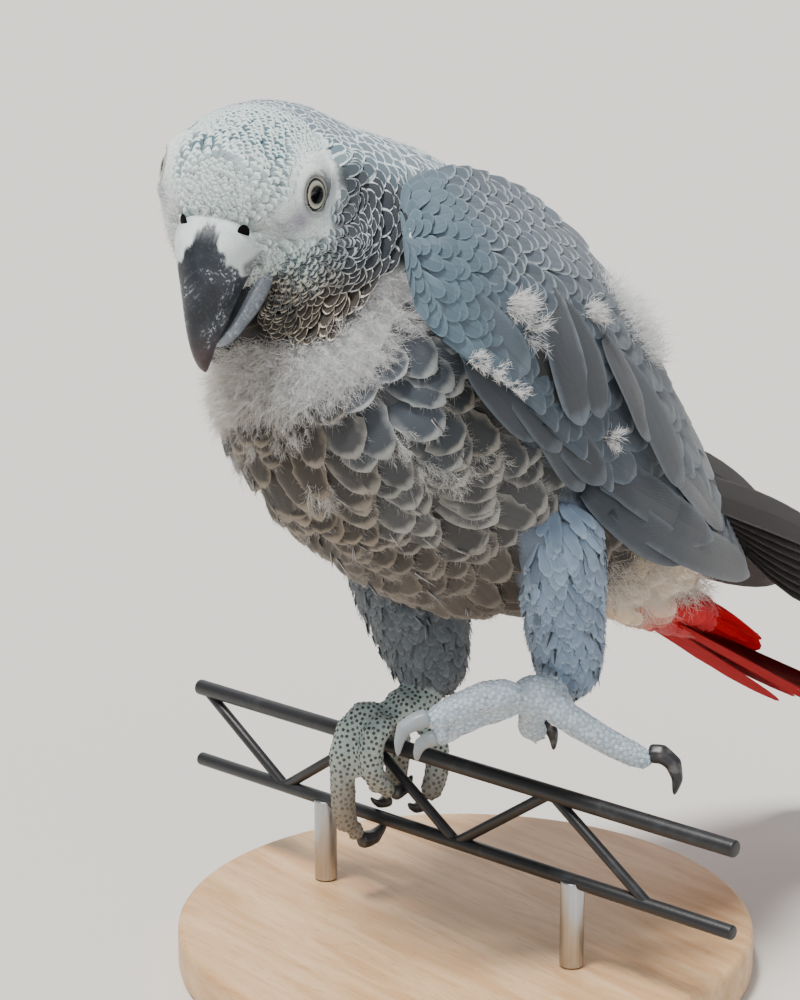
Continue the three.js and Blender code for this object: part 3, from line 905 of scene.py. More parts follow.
def root_spot(tract, point):
    """The place on the bake's map of a root, between the points of its tract's grid."""
    v, c = nearest_place(tract, point)
    off = np.asarray(point, float) - tract.grid[v, c]
    down = tract.grid[min(v + 1, tract.rows - 1), c] - tract.grid[max(v - 1, 0), c]
    over = np.cross(unit(down), tract.normal[v, c])
    v = v + 2 * off.dot(down) / max(down.dot(down), 1e-3)
    c = c + off.dot(over) / tract.pitch[min(int(v), tract.rows - 1), c]
    return tract_place(tract, np.clip([v], 0, tract.rows), np.array([c]))[0]


def blade(coat, home, stations, out, half, outline, tint, rim, **shape):
    """One long feather along a path from its root on a tract; out is the way its upper face
    looks."""
    line, ahead = curve(stations, 24)
    over = unit(np.cross(out, ahead))
    height = np.cross(ahead, over)
    grid = line[:, None] + over[:, None] * (np.linspace(-1.5, 1.5, 13) * half)[:, None]
    patch = Tract(grid, np.broadcast_to(height[:, None], grid.shape), False, 0)
    patch.spot = root_spot(home, stations[0])
    length = np.linalg.norm(np.diff(line, axis=0), axis=1).sum() * 0.98
    return vanes(coat, patch, np.array([0.3]), np.array([6.0]), outline, length, half,
                 np.asarray(tint)[None], np.asarray(rim)[None], **shape)


# ---------------------------------------------------------------- the body's tracts
skin = build_skin()
skin_points, skin_parts = shape_skin(skin)
skin.data.calc_loop_triangles()
skin_corners = np.empty(len(skin.data.loop_triangles) * 3, np.int32)
skin.data.loop_triangles.foreach_get("vertices", skin_corners)
SKIN_TREE = BVHTree.FromPolygons(skin_points.tolist(), skin_corners.reshape(-1, 3).tolist())


def over_skin(points):
    """How far each point stands out of the skin; less than nought is inside."""
    gaps = []
    for point in points.tolist():
        place, normal = SKIN_TREE.find_nearest(point)[:2]
        gaps.append((Vector(point) - place).dot(normal))
    return np.array(gaps)


HOOD = np.array([-3.0, -34.0, 112.0])  # the middle of the ball that head and neck make
BILL_WAY = unit(in_head(12, 0, -8) - HOOD)
COLLAR_WAY = unit(np.array([0.35, -0.75, 0.56]))
TRUNK_LINE = [(0, -44, 105), (0, -31, 92), (0, -12, 77), (0, 9, 66.5), (0, 30, 56), (0, 50, 45),
              (0, 66, 36), (0, 78, 29)]
RUMP_LINE = [(0, 44, 36), (0, 56, 28), (0, 70, 20), (0, 80, 14)]
THIGH_LINES = {
    "left": [(33, -1, 64), (32.5, 1.5, 55), (30.5, 5, 40), (28.5, 8.5, 27), (27, 10.5, 19)],
    "right": [(-19.5, 3, 52), (-19, 5.5, 38), (-17.5, 8, 25), (-15.5, 9.5, 15), (-14, 10, 9)],
}
NAPE = (-4, -14, 122)
WING_LINE = [(32, -38, 118, 12), (32, -22, 113, 22), (31, 2, 103, 29), (29.5, 24, 87, 31),
             (26.5, 42, 67, 27), (24.5, 56, 51, 17)]


def mirrored(rows, side):
    return [(side * row[0], *row[1:]) for row in rows]


FAN_ANGLES = np.linspace(8, 110, 81)
head_tract = wrapped(["head", "neck", "trunk"],
                     fan_rings(HOOD, BILL_WAY, COLLAR_WAY, CROWN, FAN_ANGLES), calm=6)
trunk_tract = wrapped(["trunk", "neck", "head"],
                      fan_rings(TRUNK_LINE[0], (0, -0.7, 0.7), (0, -0.7, 0.7), (0, 0.7, 0.7),
                                np.arange(25, 90, 3))
                      + path_rings(TRUNK_LINE, (0, 0.7, 0.7), (0, 0.5, 0.87), 110))
rump_tract = wrapped(["tail_coverts"], path_rings(RUMP_LINE, (0, 0.6, 0.8), (0, 0.5, 0.87), 45))
thigh_tracts = {side: wrapped([f"thigh_{side}"], path_rings(line, (0, -1, 0), (0, -1, 0), 50),
                              columns=48)
                for side, line in THIGH_LINES.items()}
wing_tracts = {side: spread_out([f"wing_{side}_coverts"], mirrored(WING_LINE, sign),
                                (sign * 0.85, -0.1, 0.5), (sign * 0.7, 0.25, 0.65), rows=64,
                                columns=33, overrun=8)
               for side, sign in EYE_SIDES.items()}
# The skin fills the hollow of the nape, so the trunk's tract is raised to lie over it there.
at_nape = smooth(30, 20, np.linalg.norm(trunk_tract.grid - NAPE, axis=2))
rise = over_skin(trunk_tract.grid.reshape(-1, 3)).reshape(at_nape.shape)
raised = np.maximum(1.0 - rise, 0) * smooth(-6, -3, rise) * at_nape
trunk_tract.grid = trunk_tract.grid + trunk_tract.normal * raised[..., None]
PLOTS = [  # each tract's plot on the bake's map: corner, width and height
    (head_tract, (0.01, 0.41, 0.58, 0.58)), (trunk_tract, (0.61, 0.41, 0.38, 0.58)),
    (wing_tracts["left"], (0.01, 0.01, 0.23, 0.38)),
    (wing_tracts["right"], (0.26, 0.01, 0.23, 0.38)),
    (thigh_tracts["left"], (0.51, 0.01, 0.15, 0.38)),
    (thigh_tracts["right"], (0.67, 0.01, 0.15, 0.38)),
    (rump_tract, (0.83, 0.01, 0.16, 0.38)),
]
for tract, plot in PLOTS:
    tract.plot = plot


# ---------------------------------------------------------------- markings
def near(points, centre, reach):
    """1 at a centre, falling to 0 at its reach."""
    gap = np.linalg.norm(np.asarray(points) - np.asarray(centre), axis=-1)
    return 1 - smooth(0, 1, gap / reach)


def layered(*layers):
    """Centre and rim colours in layers, each a mask, a centre and a rim; None leaves one as it
    is."""
    colours = [np.zeros((len(layers[-1][0]), 3))] * 2
    for mask, *pair in layers:
        colours = [old if new is None else blend(old, new if isinstance(new, np.ndarray)
                                                 else linear(new), mask)
                   for old, new in zip(colours, pair)]
    return colours


def head_colours(points):
    """Centre and rim colours of the small feathers of the head and neck; the rim's alpha is 1
    where the whole tip is pale and 0 where only a line of it is."""
    f, l, u = head_place(points).T
    out = np.abs(l)
    side = smooth(15, 19.5, out) * smooth(7, 1, u) * smooth(-14, -7, f)
    nape = smooth(6, 16, -f) * smooth(-10, 0, u)
    jaw = smooth(8, 20, -u) * smooth(-16, 0, f)
    white = np.maximum(smooth(5, 11, f) * smooth(-14, -4, u), smooth(1, 11, f) * smooth(2, 7, u))
    round_eyes = sum(bare_face(points, margin) for margin in (0.8, 1.8, 2.8)) / 3
    white = np.maximum(white, round_eyes * (1 - 0.8 * side))
    # The first layer's dark grey centre is partly the feathers' own grey and partly painted shade
    # in the recess under each tip above.
    centre, rim = layered((np.ones(len(f)), "#587581", "#E6FAF8"), (side, "#30373F", "#8F9AA0"),
                          (side * smooth(21.5, 25, out), None, "#D8E2E8"),
                          (nape, "#71828D", "#DCE9EE"), (jaw, "#382F25", "#CDC2AE"),
                          (white, "#CBDCDC", "#E6F8F5"))
    width = (1 - np.maximum(side, jaw)) * (1 - 0.4 * nape)
    return centre, np.concatenate([rim, width[:, None]], 1)


RED = linear("#C40814")


def trunk_colours(points):
    """Breast brown-grey, belly paler, mantle blue-grey, vent cream, tail coverts red."""
    x, y, z = points.T
    back = smooth(-4, 14, 0.72 * (z - 90) + 0.69 * (y + 12) - 0.1 * np.abs(x) - 12)
    back = np.maximum(back, smooth(100, 110, z))
    front = 1 - back
    return layered(
        (np.ones(len(x)), "#38322C", "#8D8171"),
        (back, "#62717E", "#8494A0"),
        (smooth(12, 26, x) * smooth(40, 60, z) * front, "#4A4B4C", "#9A9893"),  # cool flank
        (smooth(18, 32, x) * smooth(68, 84, z) * front, "#4A525B", "#A3A8AA"),  # blue by the wing
        # painted shade: the far side of the breast, turned from the light, made darker
        (smooth(-9, -17, x) * smooth(-18, -34, y) * smooth(50, 62, z), "#2E2F32", "#56585A"),
        (near(points, (35, -19, 84), 17), "#28261F", "#867C69"),  # shaded by the wing
        (smooth(62, 46, z) * (1 - smooth(10, 25, y)), "#49433D", "#7C7368"),  # belly
        (smooth(22, 44, y) * front, "#F2DDC0", "#FFF1DD"),  # vent
        (smooth(42, 62, y) * back, "#B4B9BC", "#CDD2D4"),  # rump
        (smooth(49, 57, y + 0.4 * (26 - z)), RED, RED * 1.15))  # tail coverts


def thigh_colours(side):
    # The right thigh, on the far side under the body, is a darker grey than the left: painted shade
    # over the same plumage.
    shades = {"left": ("#8498AF", "#9DB0C4"), "right": ("#626B73", "#757E86")}[side]

    def colours(points):
        ones = np.ones((len(points), 1))
        return linear(shades[0]) * ones, linear(shades[1]) * ones
    return colours


def wing_colours(points):
    """Pale at the shoulder, slate blue-grey further back, with bright rims along the top."""
    y, z = points.T[1:]
    pale = 1 - smooth(-34, 4, y - 0.5 * (z - 105))
    edge = smooth(100, 112, z) * smooth(-24, -12, y)
    return layered((np.ones(len(y)), "#414E5B", "#62727F"), (pale, "#5D7382", "#748B9A"),
                   (edge, "#53626F", "#C3D2DA"))


def varied(colour, count, amount=0.07):
    """The same colour a little lighter or darker on each feather."""
    return np.clip(colour * chance.normal(1, amount, (count, 1)), 0, 1)


# ---------------------------------------------------------------- finishes
def feather_material(name, barb, shaft=0.35, rough=0.62, sheen=0.2, rim_start=0.6,
                     rim_end=0.9, streak=0.1, sides=1.0, tips=0.0, tip=(0.7, 1.0),
                     ragged=0.35, gloss=0.35):
    """A vane of fine barbs either side of a shaft, with a paler rim.
    barb is how many barbs lie along the vane, shaft how dark the shaft is, and sides how much
    of the rim runs up the sides; the rim narrows as its colour's alpha falls, and tips is how
    much it leaves the sides as the alpha rises. tip is where along the vane the rim begins
    and is full, ragged how uneven its inner edge is, and gloss how strongly it shines."""
    material, tree, shader = new_material(name, Roughness=rough, Sheen_Weight=sheen,
                                          Sheen_Roughness=0.5, Specular_IOR_Level=gloss)
    tint = add(tree, "Attribute", attribute_name="tint")[0]
    rim, _, _, alpha = add(tree, "Attribute", attribute_name="rim")
    sideways, along, _ = add(tree, "SeparateXYZ", {0: add(tree, "UVMap", uv_map="vane")[0]})
    across = add(tree, "Math", {0: sideways, 1: 2.0, 2: -1.0}, operation="MULTIPLY_ADD")[0]
    across = add(tree, "Math", {0: across}, operation="ABSOLUTE")[0]
    spot = add(tree, "TexCoord")["Object"]
    patches = add(tree, "TexNoise", {"Vector": spot, "Scale": 420.0, "Detail": 3.0})[0]
    at_sides = add(tree, "Math", {0: alpha, 1: -tips * sides, 2: sides},
                   operation="MULTIPLY_ADD")[0]
    at_sides = add(tree, "Math", {0: across, 1: at_sides}, operation="MULTIPLY")[0]
    at_tip = add(tree, "MapRange", {0: along, 1: tip[0], 2: tip[1]}, **EASED)[0]
    edge = add(tree, "Math", {0: at_sides, 1: at_tip}, operation="MAXIMUM")[0]
    narrow = add(tree, "Math", {0: alpha, 1: 0.32, 2: -0.32}, operation="MULTIPLY_ADD")[0]
    edge = add(tree, "Math", {0: edge, 1: narrow}, operation="ADD")[0]
    uneven = add(tree, "Math", {0: patches, 1: 0.5}, operation="SUBTRACT")[0]
    edge = add(tree, "Math", {0: uneven, 1: ragged, 2: edge}, operation="MULTIPLY_ADD")[0]
    colour = marked(tree, tint, edge, rim_start, rim_end, 1.0, rim)
    slant = add(tree, "Math", {0: across, 1: -0.35, 2: along}, operation="MULTIPLY_ADD")[0]
    waves = add(tree, "Math", {0: slant, 1: barb * 6.283}, operation="MULTIPLY")[0]
    waves = add(tree, "Math", {0: waves}, operation="SINE")[0]
    waves = add(tree, "Math", {0: patches, 1: 2.0, 2: waves}, operation="MULTIPLY_ADD")[0]
    furrow = add(tree, "Mix", {0: 1.0, 6: colour, 7: rgba("#8A8A8A")}, data_type="RGBA",
                 blend_type="MULTIPLY")[2]
    colour = marked(tree, colour, waves, -1.0, 2.6, streak * 3, furrow)
    colour = marked(tree, colour, across, 0.1, 0.03, shaft, rgba("#2E2C2B"))
    surfaced(tree, shader, colour, waves, 0.35, 0.00012)
    return material


# Loose down: no shine, and light passes from barb to barb.
down_finish, tree, shader = new_material("loose down", Roughness=0.9, Sheen_Weight=0.7,
                                         Sheen_Roughness=0.6, Subsurface_Weight=0.8,
                                         Subsurface_Scale=0.002,
                                         Subsurface_Radius=(1.0, 1.0, 1.0))
surfaced(tree, shader, add(tree, "Attribute", attribute_name="tint")[0])


# ---------------------------------------------------------------- the bill
# Horn grows in layers that wear: a dull shine, chalky scratches and pale flakes.
horn, tree, shader = new_material("bill horn, dull with chalky scratches", Roughness=0.5,
                                  Specular_IOR_Level=0.4)
tint = add(tree, "Attribute", attribute_name="tint")[0]
spot = add(tree, "TexCoord")["Object"]
flakes = add(tree, "TexNoise", {"Vector": spot, "Scale": 900.0, "Detail": 4.0})[0]
blotches = add(tree, "TexNoise", {"Vector": spot, "Scale": 130.0, "Detail": 3.0})[0]
lines = 0.0
for turn in ((0.0, 0.9, 0.3), (0.3, -0.7, 0.9), (1.3, 0.2, 0.6)):
    along = add(tree, "Mapping", {"Vector": spot, "Scale": (1.0, 1.0, 7.0), "Rotation": turn},
                vector_type="TEXTURE")[0]
    scratches = add(tree, "TexNoise", {"Vector": along, "Scale": 1700.0, "Detail": 1.0})[0]
    thin = add(tree, "MapRange", {0: scratches, 1: 0.62, 2: 0.72}, **EASED)[0]
    lines = add(tree, "Math", {0: lines, 1: thin}, operation="MAXIMUM")[0]
patchy = add(tree, "MapRange", {0: blotches, 1: 0.46, 2: 0.6, 3: 0.05}, **EASED)[0]
lines = add(tree, "Math", {0: lines, 1: patchy}, operation="MULTIPLY")[0]
flaked = add(tree, "MapRange", {0: flakes, 1: 0.6, 2: 0.76}, **EASED)[0]
worn = add(tree, "MapRange", {0: blotches, 1: 0.46, 2: 0.62}, **EASED)[0]
chalk = add(tree, "Math", {0: flaked, 1: worn}, operation="MULTIPLY")[0]
marks = add(tree, "Math", {0: lines, 1: chalk}, operation="MAXIMUM")[0]
# The near black painted inside the lower bill is painted shade, so it gets no marks.
brightness = add(tree, "RGBToBW", {0: tint})[0]  # the black inside the bill has no marks
shown = add(tree, "MapRange", {0: brightness, 1: 0.004, 2: 0.012, 4: 0.75}, **EASED)[0]
marks = add(tree, "Math", {0: marks, 1: shown}, operation="MULTIPLY")[0]
mottle = marked(tree, tint, blotches, 0.35, 0.7, 0.35, rgba("#5E6672"))
mottle = add(tree, "Mix", {0: marks, 6: mottle, 7: rgba("#C3C8CE")}, data_type="RGBA")[2]
surfaced(tree, shader, mottle, scratches, 0.35, 0.00015)


def horn_shell(name, stations, arch, fullness, rows=90, across=72):
    """A hollow-backed shell of horn. Each station is a ridge point (forward, up), an edge point
    (forward, up) and half the width at the edge; arch hollows the open side. Returns it and
    how near each point is to the rim: 1 on the outer face, 0 along the middle of the hollow."""
    line = curve(stations, rows)[0]
    ridge, edge, half = line[:, 0:2], line[:, 2:4], line[:, 4]
    turn = np.linspace(-math.pi / 2, math.pi / 2, across)
    rise = np.cos(turn) ** fullness
    side = np.sign(np.sin(turn)) * np.abs(np.sin(turn)) ** 0.95
    inner = np.linspace(1, -1, across // 2)[1:-1]
    rise = np.concatenate([rise, arch * (1 - inner**2)])
    side = np.concatenate([side, inner * 0.97])
    flat = edge[:, None] + (ridge - edge)[:, None] * rise[:, None]
    out = half[:, None] * side
    points = in_head_rows(flat[..., 0], out, flat[..., 1])
    sides = len(rise)
    index, _, quads = ring_faces(rows, sides)
    ends = np.concatenate([index[0], index[-1, ::-1]])
    made = mesh_object(name, points.reshape(-1, 3), np.concatenate([quads, ends]),
                       np.concatenate([np.full(len(quads) // 4, 4), [sides, sides]]))
    shape = bmesh.new()
    shape.from_mesh(made.data)
    bmesh.ops.recalc_face_normals(shape, faces=shape.faces)
    shape.to_mesh(made.data)
    shape.free()
    return made, np.tile(np.concatenate([np.ones(across), np.abs(inner)]), rows)


def in_head_rows(f, l, u):
    return HEAD + f[..., None] * FORWARD + l[..., None] * LEFT + u[..., None] * CROWN


def tree_over(*pieces):
    """The triangles of some finished pieces, for measuring gaps to them."""
    points, corners, count = [], [], 0
    for piece in pieces:
        piece.data.calc_loop_triangles()
        points += points_of(piece.data).tolist()
        corners += [[corner + count for corner in face.vertices]
                    for face in piece.data.loop_triangles]
        count = len(points)
    return BVHTree.FromPolygons(points, corners)


def gaps_to(tree, points):
    """How far each point is from a surface."""
    return np.array([tree.find_nearest(point)[3] for point in points.tolist()])


# Stations down the bill: ridge (forward, up), edge (forward, up) and half width at the edge.
UPPER_BILL = [(11.5, -1, 6, -5, 7.4), (16.0, 0.2, 9.5, -5.8, 8.2), (19.4, -1.2, 12, -6.6, 8.4),
              (22, -4.2, 13.6, -8.6, 7.8), (24.2, -8.8, 14.8, -11.6, 6.4),
              (25.6, -13.2, 16, -14.8, 5.1), (26.2, -17.6, 17.2, -17.8, 4.1),
              (25.9, -21.6, 18.6, -20.8, 3.2), (24.8, -25.2, 20.5, -23.2, 2.3),
              (23.2, -28, 21, -26.6, 1.4), (21.6, -29.7, 21.2, -29.2, 0.5)]
LOWER_BILL = [(0, -19, 5, -9, 8.4), (3, -23.6, 9.5, -11, 8.7), (7, -26.2, 12, -14, 7.7),
              (10.5, -27.3, 13.2, -17.6, 6.0), (13.5, -27.8, 15, -20.6, 4.6),
              (15.6, -27.5, 16.3, -22.8, 3.3), (16.9, -26.4, 17, -25.2, 1.5)]
NOSTRIL = (14.8, 5.3, -1.5)  # forward, out and up from the middle of the head


def bill_colours(points):
    """The upper bill: slate horn, browner at the tip, and the pale cere at its root."""
    f, l, u = head_place(points).T
    ragged = 0.5 * np.sin(u * 1.9) + 0.35 * np.sin(l * 4.3 + 1)
    seam = np.interp(l, [-8.6, -5.5, -4, -3, -2, -1, 0, 1.2, 2.2, 3.3, 4.8, 6.1, 6.7, 8.6],
                     [-13, -8.5, -5.6, -3.4, -1.7, -0.5, 0, -0.5, -1.6, -3.6, -5.4, -7.4,
                      -11.4, -13])
    cere = smooth(-0.5, 0.5, u + ragged - seam)
    grey = smooth(6.2, 7.0, np.abs(l)) * smooth(-5.5, -7.5, u)
    colour = blend(linear("#1D222A"), linear("#3D3236"), smooth(-17, -25, u))
    colour = blend(colour, linear("#DDE9E8"), cere)
    return blend(colour, linear("#75787C"), grey * cere)


bill_pieces = []
for node, stations, arch, fullness in (("bill_upper", UPPER_BILL, 0.3, 0.95),
                                       ("bill_lower", LOWER_BILL, 0.25, 0.75)):
    made, rim = horn_shell(node + "_horn", stations, arch, fullness)
    if node == "bill_upper":
        colour = bill_colours(points_of(made.data))
    else:
        # Inside the lower bill is painted near black: painted shade in the mouth between the bills;
        # the outer face keeps its grey.
        colour = blend(linear("#939DA9"), linear("#050506"), 1 - smooth(0.78, 0.84, rim))
    paint(made.data, "tint", colour)
    settle(made, horn, "bill_horn", node)
    bill_pieces.append(made)
BILL_TREE = tree_over(*bill_pieces)

# Moist skin deep in shade: all but black.
nostril_finish, tree, shader = new_material("nostril, dark and moist", Roughness=0.7,
                                            Specular_IOR_Level=0.1)
shader.inputs["Base Color"].default_value = rgba("#020203")
NOSTRILS = []
for side, sign in EYE_SIDES.items():
    way = unit(0.78 * FORWARD + 0.62 * sign * LEFT)
    aim = in_head(NOSTRIL[0] - 4, sign * (NOSTRIL[1] - 3.2), NOSTRIL[2])
    places = [hit for hit in (outer_point(tree, aim, way, 15) for tree in (SKIN_TREE, BILL_TREE))
              if hit is not None]
    place = max(places, key=lambda hit: way.dot(hit)) + 0.3 * way
    NOSTRILS.append(place)
    bpy.ops.mesh.primitive_uv_sphere_add(segments=24, ring_count=12, radius=MM)
    made = bpy.context.object
    made.name = f"nostril_{side}"
    over = unit(CROWN + 0.25 * FORWARD)
    turn = Matrix((unit(np.cross(over, way)), unit(over - over.dot(way) * way), way)).transposed()
    made.matrix_world = (Matrix.Translation((place + BIRD) * MM) @ turn.to_4x4()
                         @ Matrix.Diagonal((1.2, 1.6, 0.25, 1)))
    bpy.ops.object.transform_apply(location=True, rotation=True, scale=True)
    bpy.ops.object.shade_smooth()
    bpy.ops.object.select_all(action="DESELECT")
    settle(made, nostril_finish, "bill_horn")


# ---------------------------------------------------------------- laying the coat
def by_distance(*pairs):
    """A size that changes with the distance along a tract, from (distance, size) pairs."""
    places, sizes = zip(*pairs)
    return lambda s: np.interp(s, places, sizes)


def nostril_gap(points):
    """How far each point is from the nearer nostril."""
    return np.linalg.norm(points[:, None] - np.array(NOSTRILS), axis=2).min(1)


def off_bill(points, gap):
    return gaps_to(BILL_TREE, points) > gap


def lay(coat, tract, show, wide, overlap, start, end, outline, colours, keep=None, hidden=-0.25,
        spread=0.62, shade=0.07, wander=0.12, loose=0.05, **shape):
    """Rows of feathers over a stretch of a tract; returns what fringe and slits need. show and
    wide say, at a distance along the tract, how much of a feather shows and how wide it is;
    keep picks which stay, and those whose tips are hidden deeper than hidden are left out."""
    v, c, s, local = in_rows(tract, show, wide, start, end, wander)
    length = show(s) * local * overlap * chance.normal(1, 0.06 + 0.4 * loose, len(v))
    tip = tract.read(tract.grid, tract.further(v, c, length * 0.7), c)
    alive = over_skin(tip) > hidden
    if keep is not None:
        alive &= keep(tract.read(tract.grid, v, c), tip)
    v, c, s, length, tip = v[alive], c[alive], s[alive], length[alive], tip[alive]
    centre, rim = colours(tip)
    tone = chance.normal(1, shade, (len(v), 1))
    half = wide(s) * spread * chance.normal(1, 0.03 + 0.5 * loose, len(v))
    shape = {key: value(s) if callable(value) else value for key, value in shape.items()}
    yaw = shape.pop("yaw", 0) + chance.normal(0, loose, len(v))
    top = vanes(coat, tract, v, c, outline, length, half, centre * tone, rim * tone ** 0.5,
                yaw=yaw, **shape)
    return {"top": top, "v": v, "c": c, "rim": rim * tone}


HOOD_ANGLE = 75  # how far the hood reaches from the collar's way, in degrees
NAPE_WAY = unit([-0.1, 0.6, 0.8])


def within(points, degrees):
    """Whether places, seen from the middle of the hood, lie within an angle of the collar."""
    return unit(points - HOOD) @ COLLAR_WAY > math.cos(math.radians(degrees))


def on_face(roots, tips):
    """Where the small feathers of the head grow: not on bare skin nor over the bill, and past
    the edge of the hood only down the nape."""
    clear = off_bill(tips, 0.35) & off_bill(roots, 0.3) & (nostril_gap(tips) > 1.5)
    hood = within(roots, HOOD_ANGLE) | (unit(roots - HOOD) @ NAPE_WAY > 0.5)
    return (bare_face(tips) < 0.5) & (bare_face(roots) < 0.8) & clear & hood


def under_hood(points):
    """Whether a place lies beneath the feathers of the head and neck."""
    return within(points, HOOD_ANGLE - 0.5)


COLLAR = curve([(-14, -46, 82), (-8, -50, 86.5), (2, -51, 89), (10, -49, 90.5), (17, -45.5, 92),
                (21.5, -38.5, 97), (22.5, -30, 104)], 60)[0]


def in_collar(points):
    """1 along the band of white down under the hood, 0 away from it."""
    gap = np.linalg.norm(points[:, None] - COLLAR, axis=2).min(1)
    return (1 - smooth(4.5, 8.5, gap)) * smooth(28, 24, points[:, 0])


def off_collar(roots, tips):
    """Where the feathers of the trunk grow: not beneath the hood nor in the collar of down."""
    return ~under_hood(roots) & (in_collar(tips) < 0.45)


# Barbs of keratin scatter the light: vanes are matt, with a soft sheen and fine lines along them.
# On the small feathers the rim starts late, so the grey below it, which lies under the tip above,
# is partly painted shade.
scale_finish = feather_material("small feathers, pale tips over grey", 9, shaft=0.0, rim_start=0.3,
                                rim_end=0.72, streak=0.04, sides=0.9, tips=0.9, tip=(0.62, 0.9),
                                ragged=0.2)
arc_finish = feather_material("neck feathers, fine bright edges", 12, shaft=0.0, rim_start=0.5,
                              rim_end=0.6, streak=0.05, sides=1.05, tip=(0.78, 1.0), ragged=0.12)
vane_finish = feather_material("body feathers, soft barbs", 34, shaft=0.1, rim_start=0.42,
                               rim_end=1.02, streak=0.03, sides=0.8, gloss=0.15)
wing_finish = feather_material("wing feathers, close smooth barbs", 46, shaft=0.22, rough=0.5,
                               rim_start=0.6, rim_end=1.05, sides=0.92)
flight_finish = feather_material("flight feathers, dark close barbs", 120, shaft=0.3, rough=0.5,
                                 sheen=0.0, rim_start=0.86, rim_end=1.0)
tail_finish = feather_material("tail feathers, deep red matt barbs", 90, shaft=0.2, rough=0.8,
                               sheen=0.0, rim_start=0.86, rim_end=1.0, gloss=0.06)
WHITE_DOWN = linear("#FBF9F5")

# The head and neck: tiny scales that grow wider and end in a hood standing off the collar.
HOOD_END, NAPE_END = np.interp([HOOD_ANGLE, 108], FAN_ANGLES, head_tract.run.mean(1))
head_coat = Coat()
laid_head = {"sink": by_distance((0, 0.5), (24, 0.8), (43, 1.5)),
             "lift": by_distance((0, 0.2), (8, 0.42), (30, 0.45), (HOOD_END - 3, 0.45),
                                 (HOOD_END, 0.9)),
             "keep": on_face, "hidden": -0.6}
# How much of each feather shows, and how wide it is, by its distance from the bill.
SHOW = by_distance((0, 0.6), (6, 0.75), (11, 1.1), (18, 1.05), (26, 0.86), (60, 0.9))
WIDE = by_distance((0, 1.2), (6, 1.3), (11, 1.8), (20, 1.7), (26, 2.3), (31, 4.6), (36, 6.6),
                   (60, 7.6))
lay(head_coat, head_tract, SHOW, WIDE, 2.7, 0.5, 26, "scale", head_colours, camber=0.28,
    fray=0.08, thick=0.2, columns=3, **laid_head)
arc_coat = Coat()
lay(arc_coat, head_tract, SHOW, WIDE, 3.6, 26, NAPE_END, "round", head_colours, camber=0.08,
    fray=0.1, thick=0.13, columns=5, **laid_head)
arc_coat.build("feathers_neck", arc_finish, "feathers_pale")
head_coat.build("feathers_head", scale_finish, "feathers_pale")


def fuzzy_face(points):
    """Most fuzz at the root of the bill and round the bare skin."""
    f, l, u = head_place(points).T
    seam = smooth(8, 13, f) * smooth(-16, -8, u) * off_bill(points, 0.3)
    seam = seam * (nostril_gap(points) > 2)
    edge = 1 - np.abs(bare_face(points) - 0.35) / 0.35
    return np.clip(np.maximum(seam, 0.5 * edge) * (np.abs(l) < 20), 0, 1)


fuzz_coat = Coat()
fuzz(fuzz_coat, head_tract, fuzzy_face, 18000, 2.1, linear("#F2F9F7"), last=0.5)
fuzz(fuzz_coat, head_tract, lambda points: smooth(1, 11, head_place(points)[:, 0])
     * off_bill(points, 1.0) * 0.9, 12000, 1.9, linear("#E6F2F0"), last=0.5, lie=0.86)
fuzz_coat.build("fuzz_face", down_finish, "feathers_pale")

# The trunk: ragged discs with soft pale edges, parted here and there to bare a dark shaft.
breast_coat = Coat()
breast = lay(breast_coat, trunk_tract,
             by_distance((0, 2.8), (30, 3.0), (70, 3.2), (110, 3.7), (150, 4.5)),
             by_distance((0, 6.0), (20, 7.8), (70, 8.8), (110, 8.8), (150, 8.0)),
             3.2, 4, 150, "shaggy", trunk_colours, keep=off_collar,
             sink=2.8, lift=1.1, thick=0.2, camber=0.14, fray=0.28, columns=7, shade=0.16,
             wander=0.34, loose=0.16)
breast_coat.build("feathers_trunk", vane_finish, "feathers_breast")

fray_coat = Coat()
for per, reach in ((22, 1.2), (14, 2.0)):
    fringe(fray_coat, trunk_tract, breast, per, reach, thick=0.028, start=0.45)
slits(fray_coat, trunk_tract, breast, 0.1, 4.5, linear("#17171A"), linear("#A9A49B"))
fray_coat.build("feathers_trunk_barbs", down_finish, "feathers_breast")

thigh_coat = Coat()
for side, tract in thigh_tracts.items():
    laid = lay(thigh_coat, tract,
               by_distance((0, 2.2), (20, 1.9), (45, 1.6)),
               by_distance((0, 3.0), (20, 2.7), (45, 2.2)),
               3.4, 0.5, 60, "shaggy", thigh_colours(side), sink=1.2, lift=0.5, thick=0.15,
               camber=0.12, fray=0.4, columns=5, shade=0.12, wander=0.3, loose=0.15)
    fringe(thigh_coat, tract, laid, 7, 1.5, thick=0.045)
    slits(thigh_coat, tract, laid, 0.06, 3.2, linear("#3A4048"), linear("#A9B4C0"))
thigh_coat.build("feathers_thighs", vane_finish, "feathers_grey")

rump_coat = Coat()
laid = lay(rump_coat, rump_tract, by_distance((0, 4.0), (40, 4.5)),
           by_distance((0, 7.0), (40, 6.0)), 2.6, 1, 40, "shaggy", trunk_colours, sink=1.6,
           lift=0.5, thick=0.15, fray=0.15, columns=5)
fringe(rump_coat, rump_tract, laid, 24, 1.6, thick=0.05)
rump_coat.build("feathers_rump", vane_finish, "feathers_down")

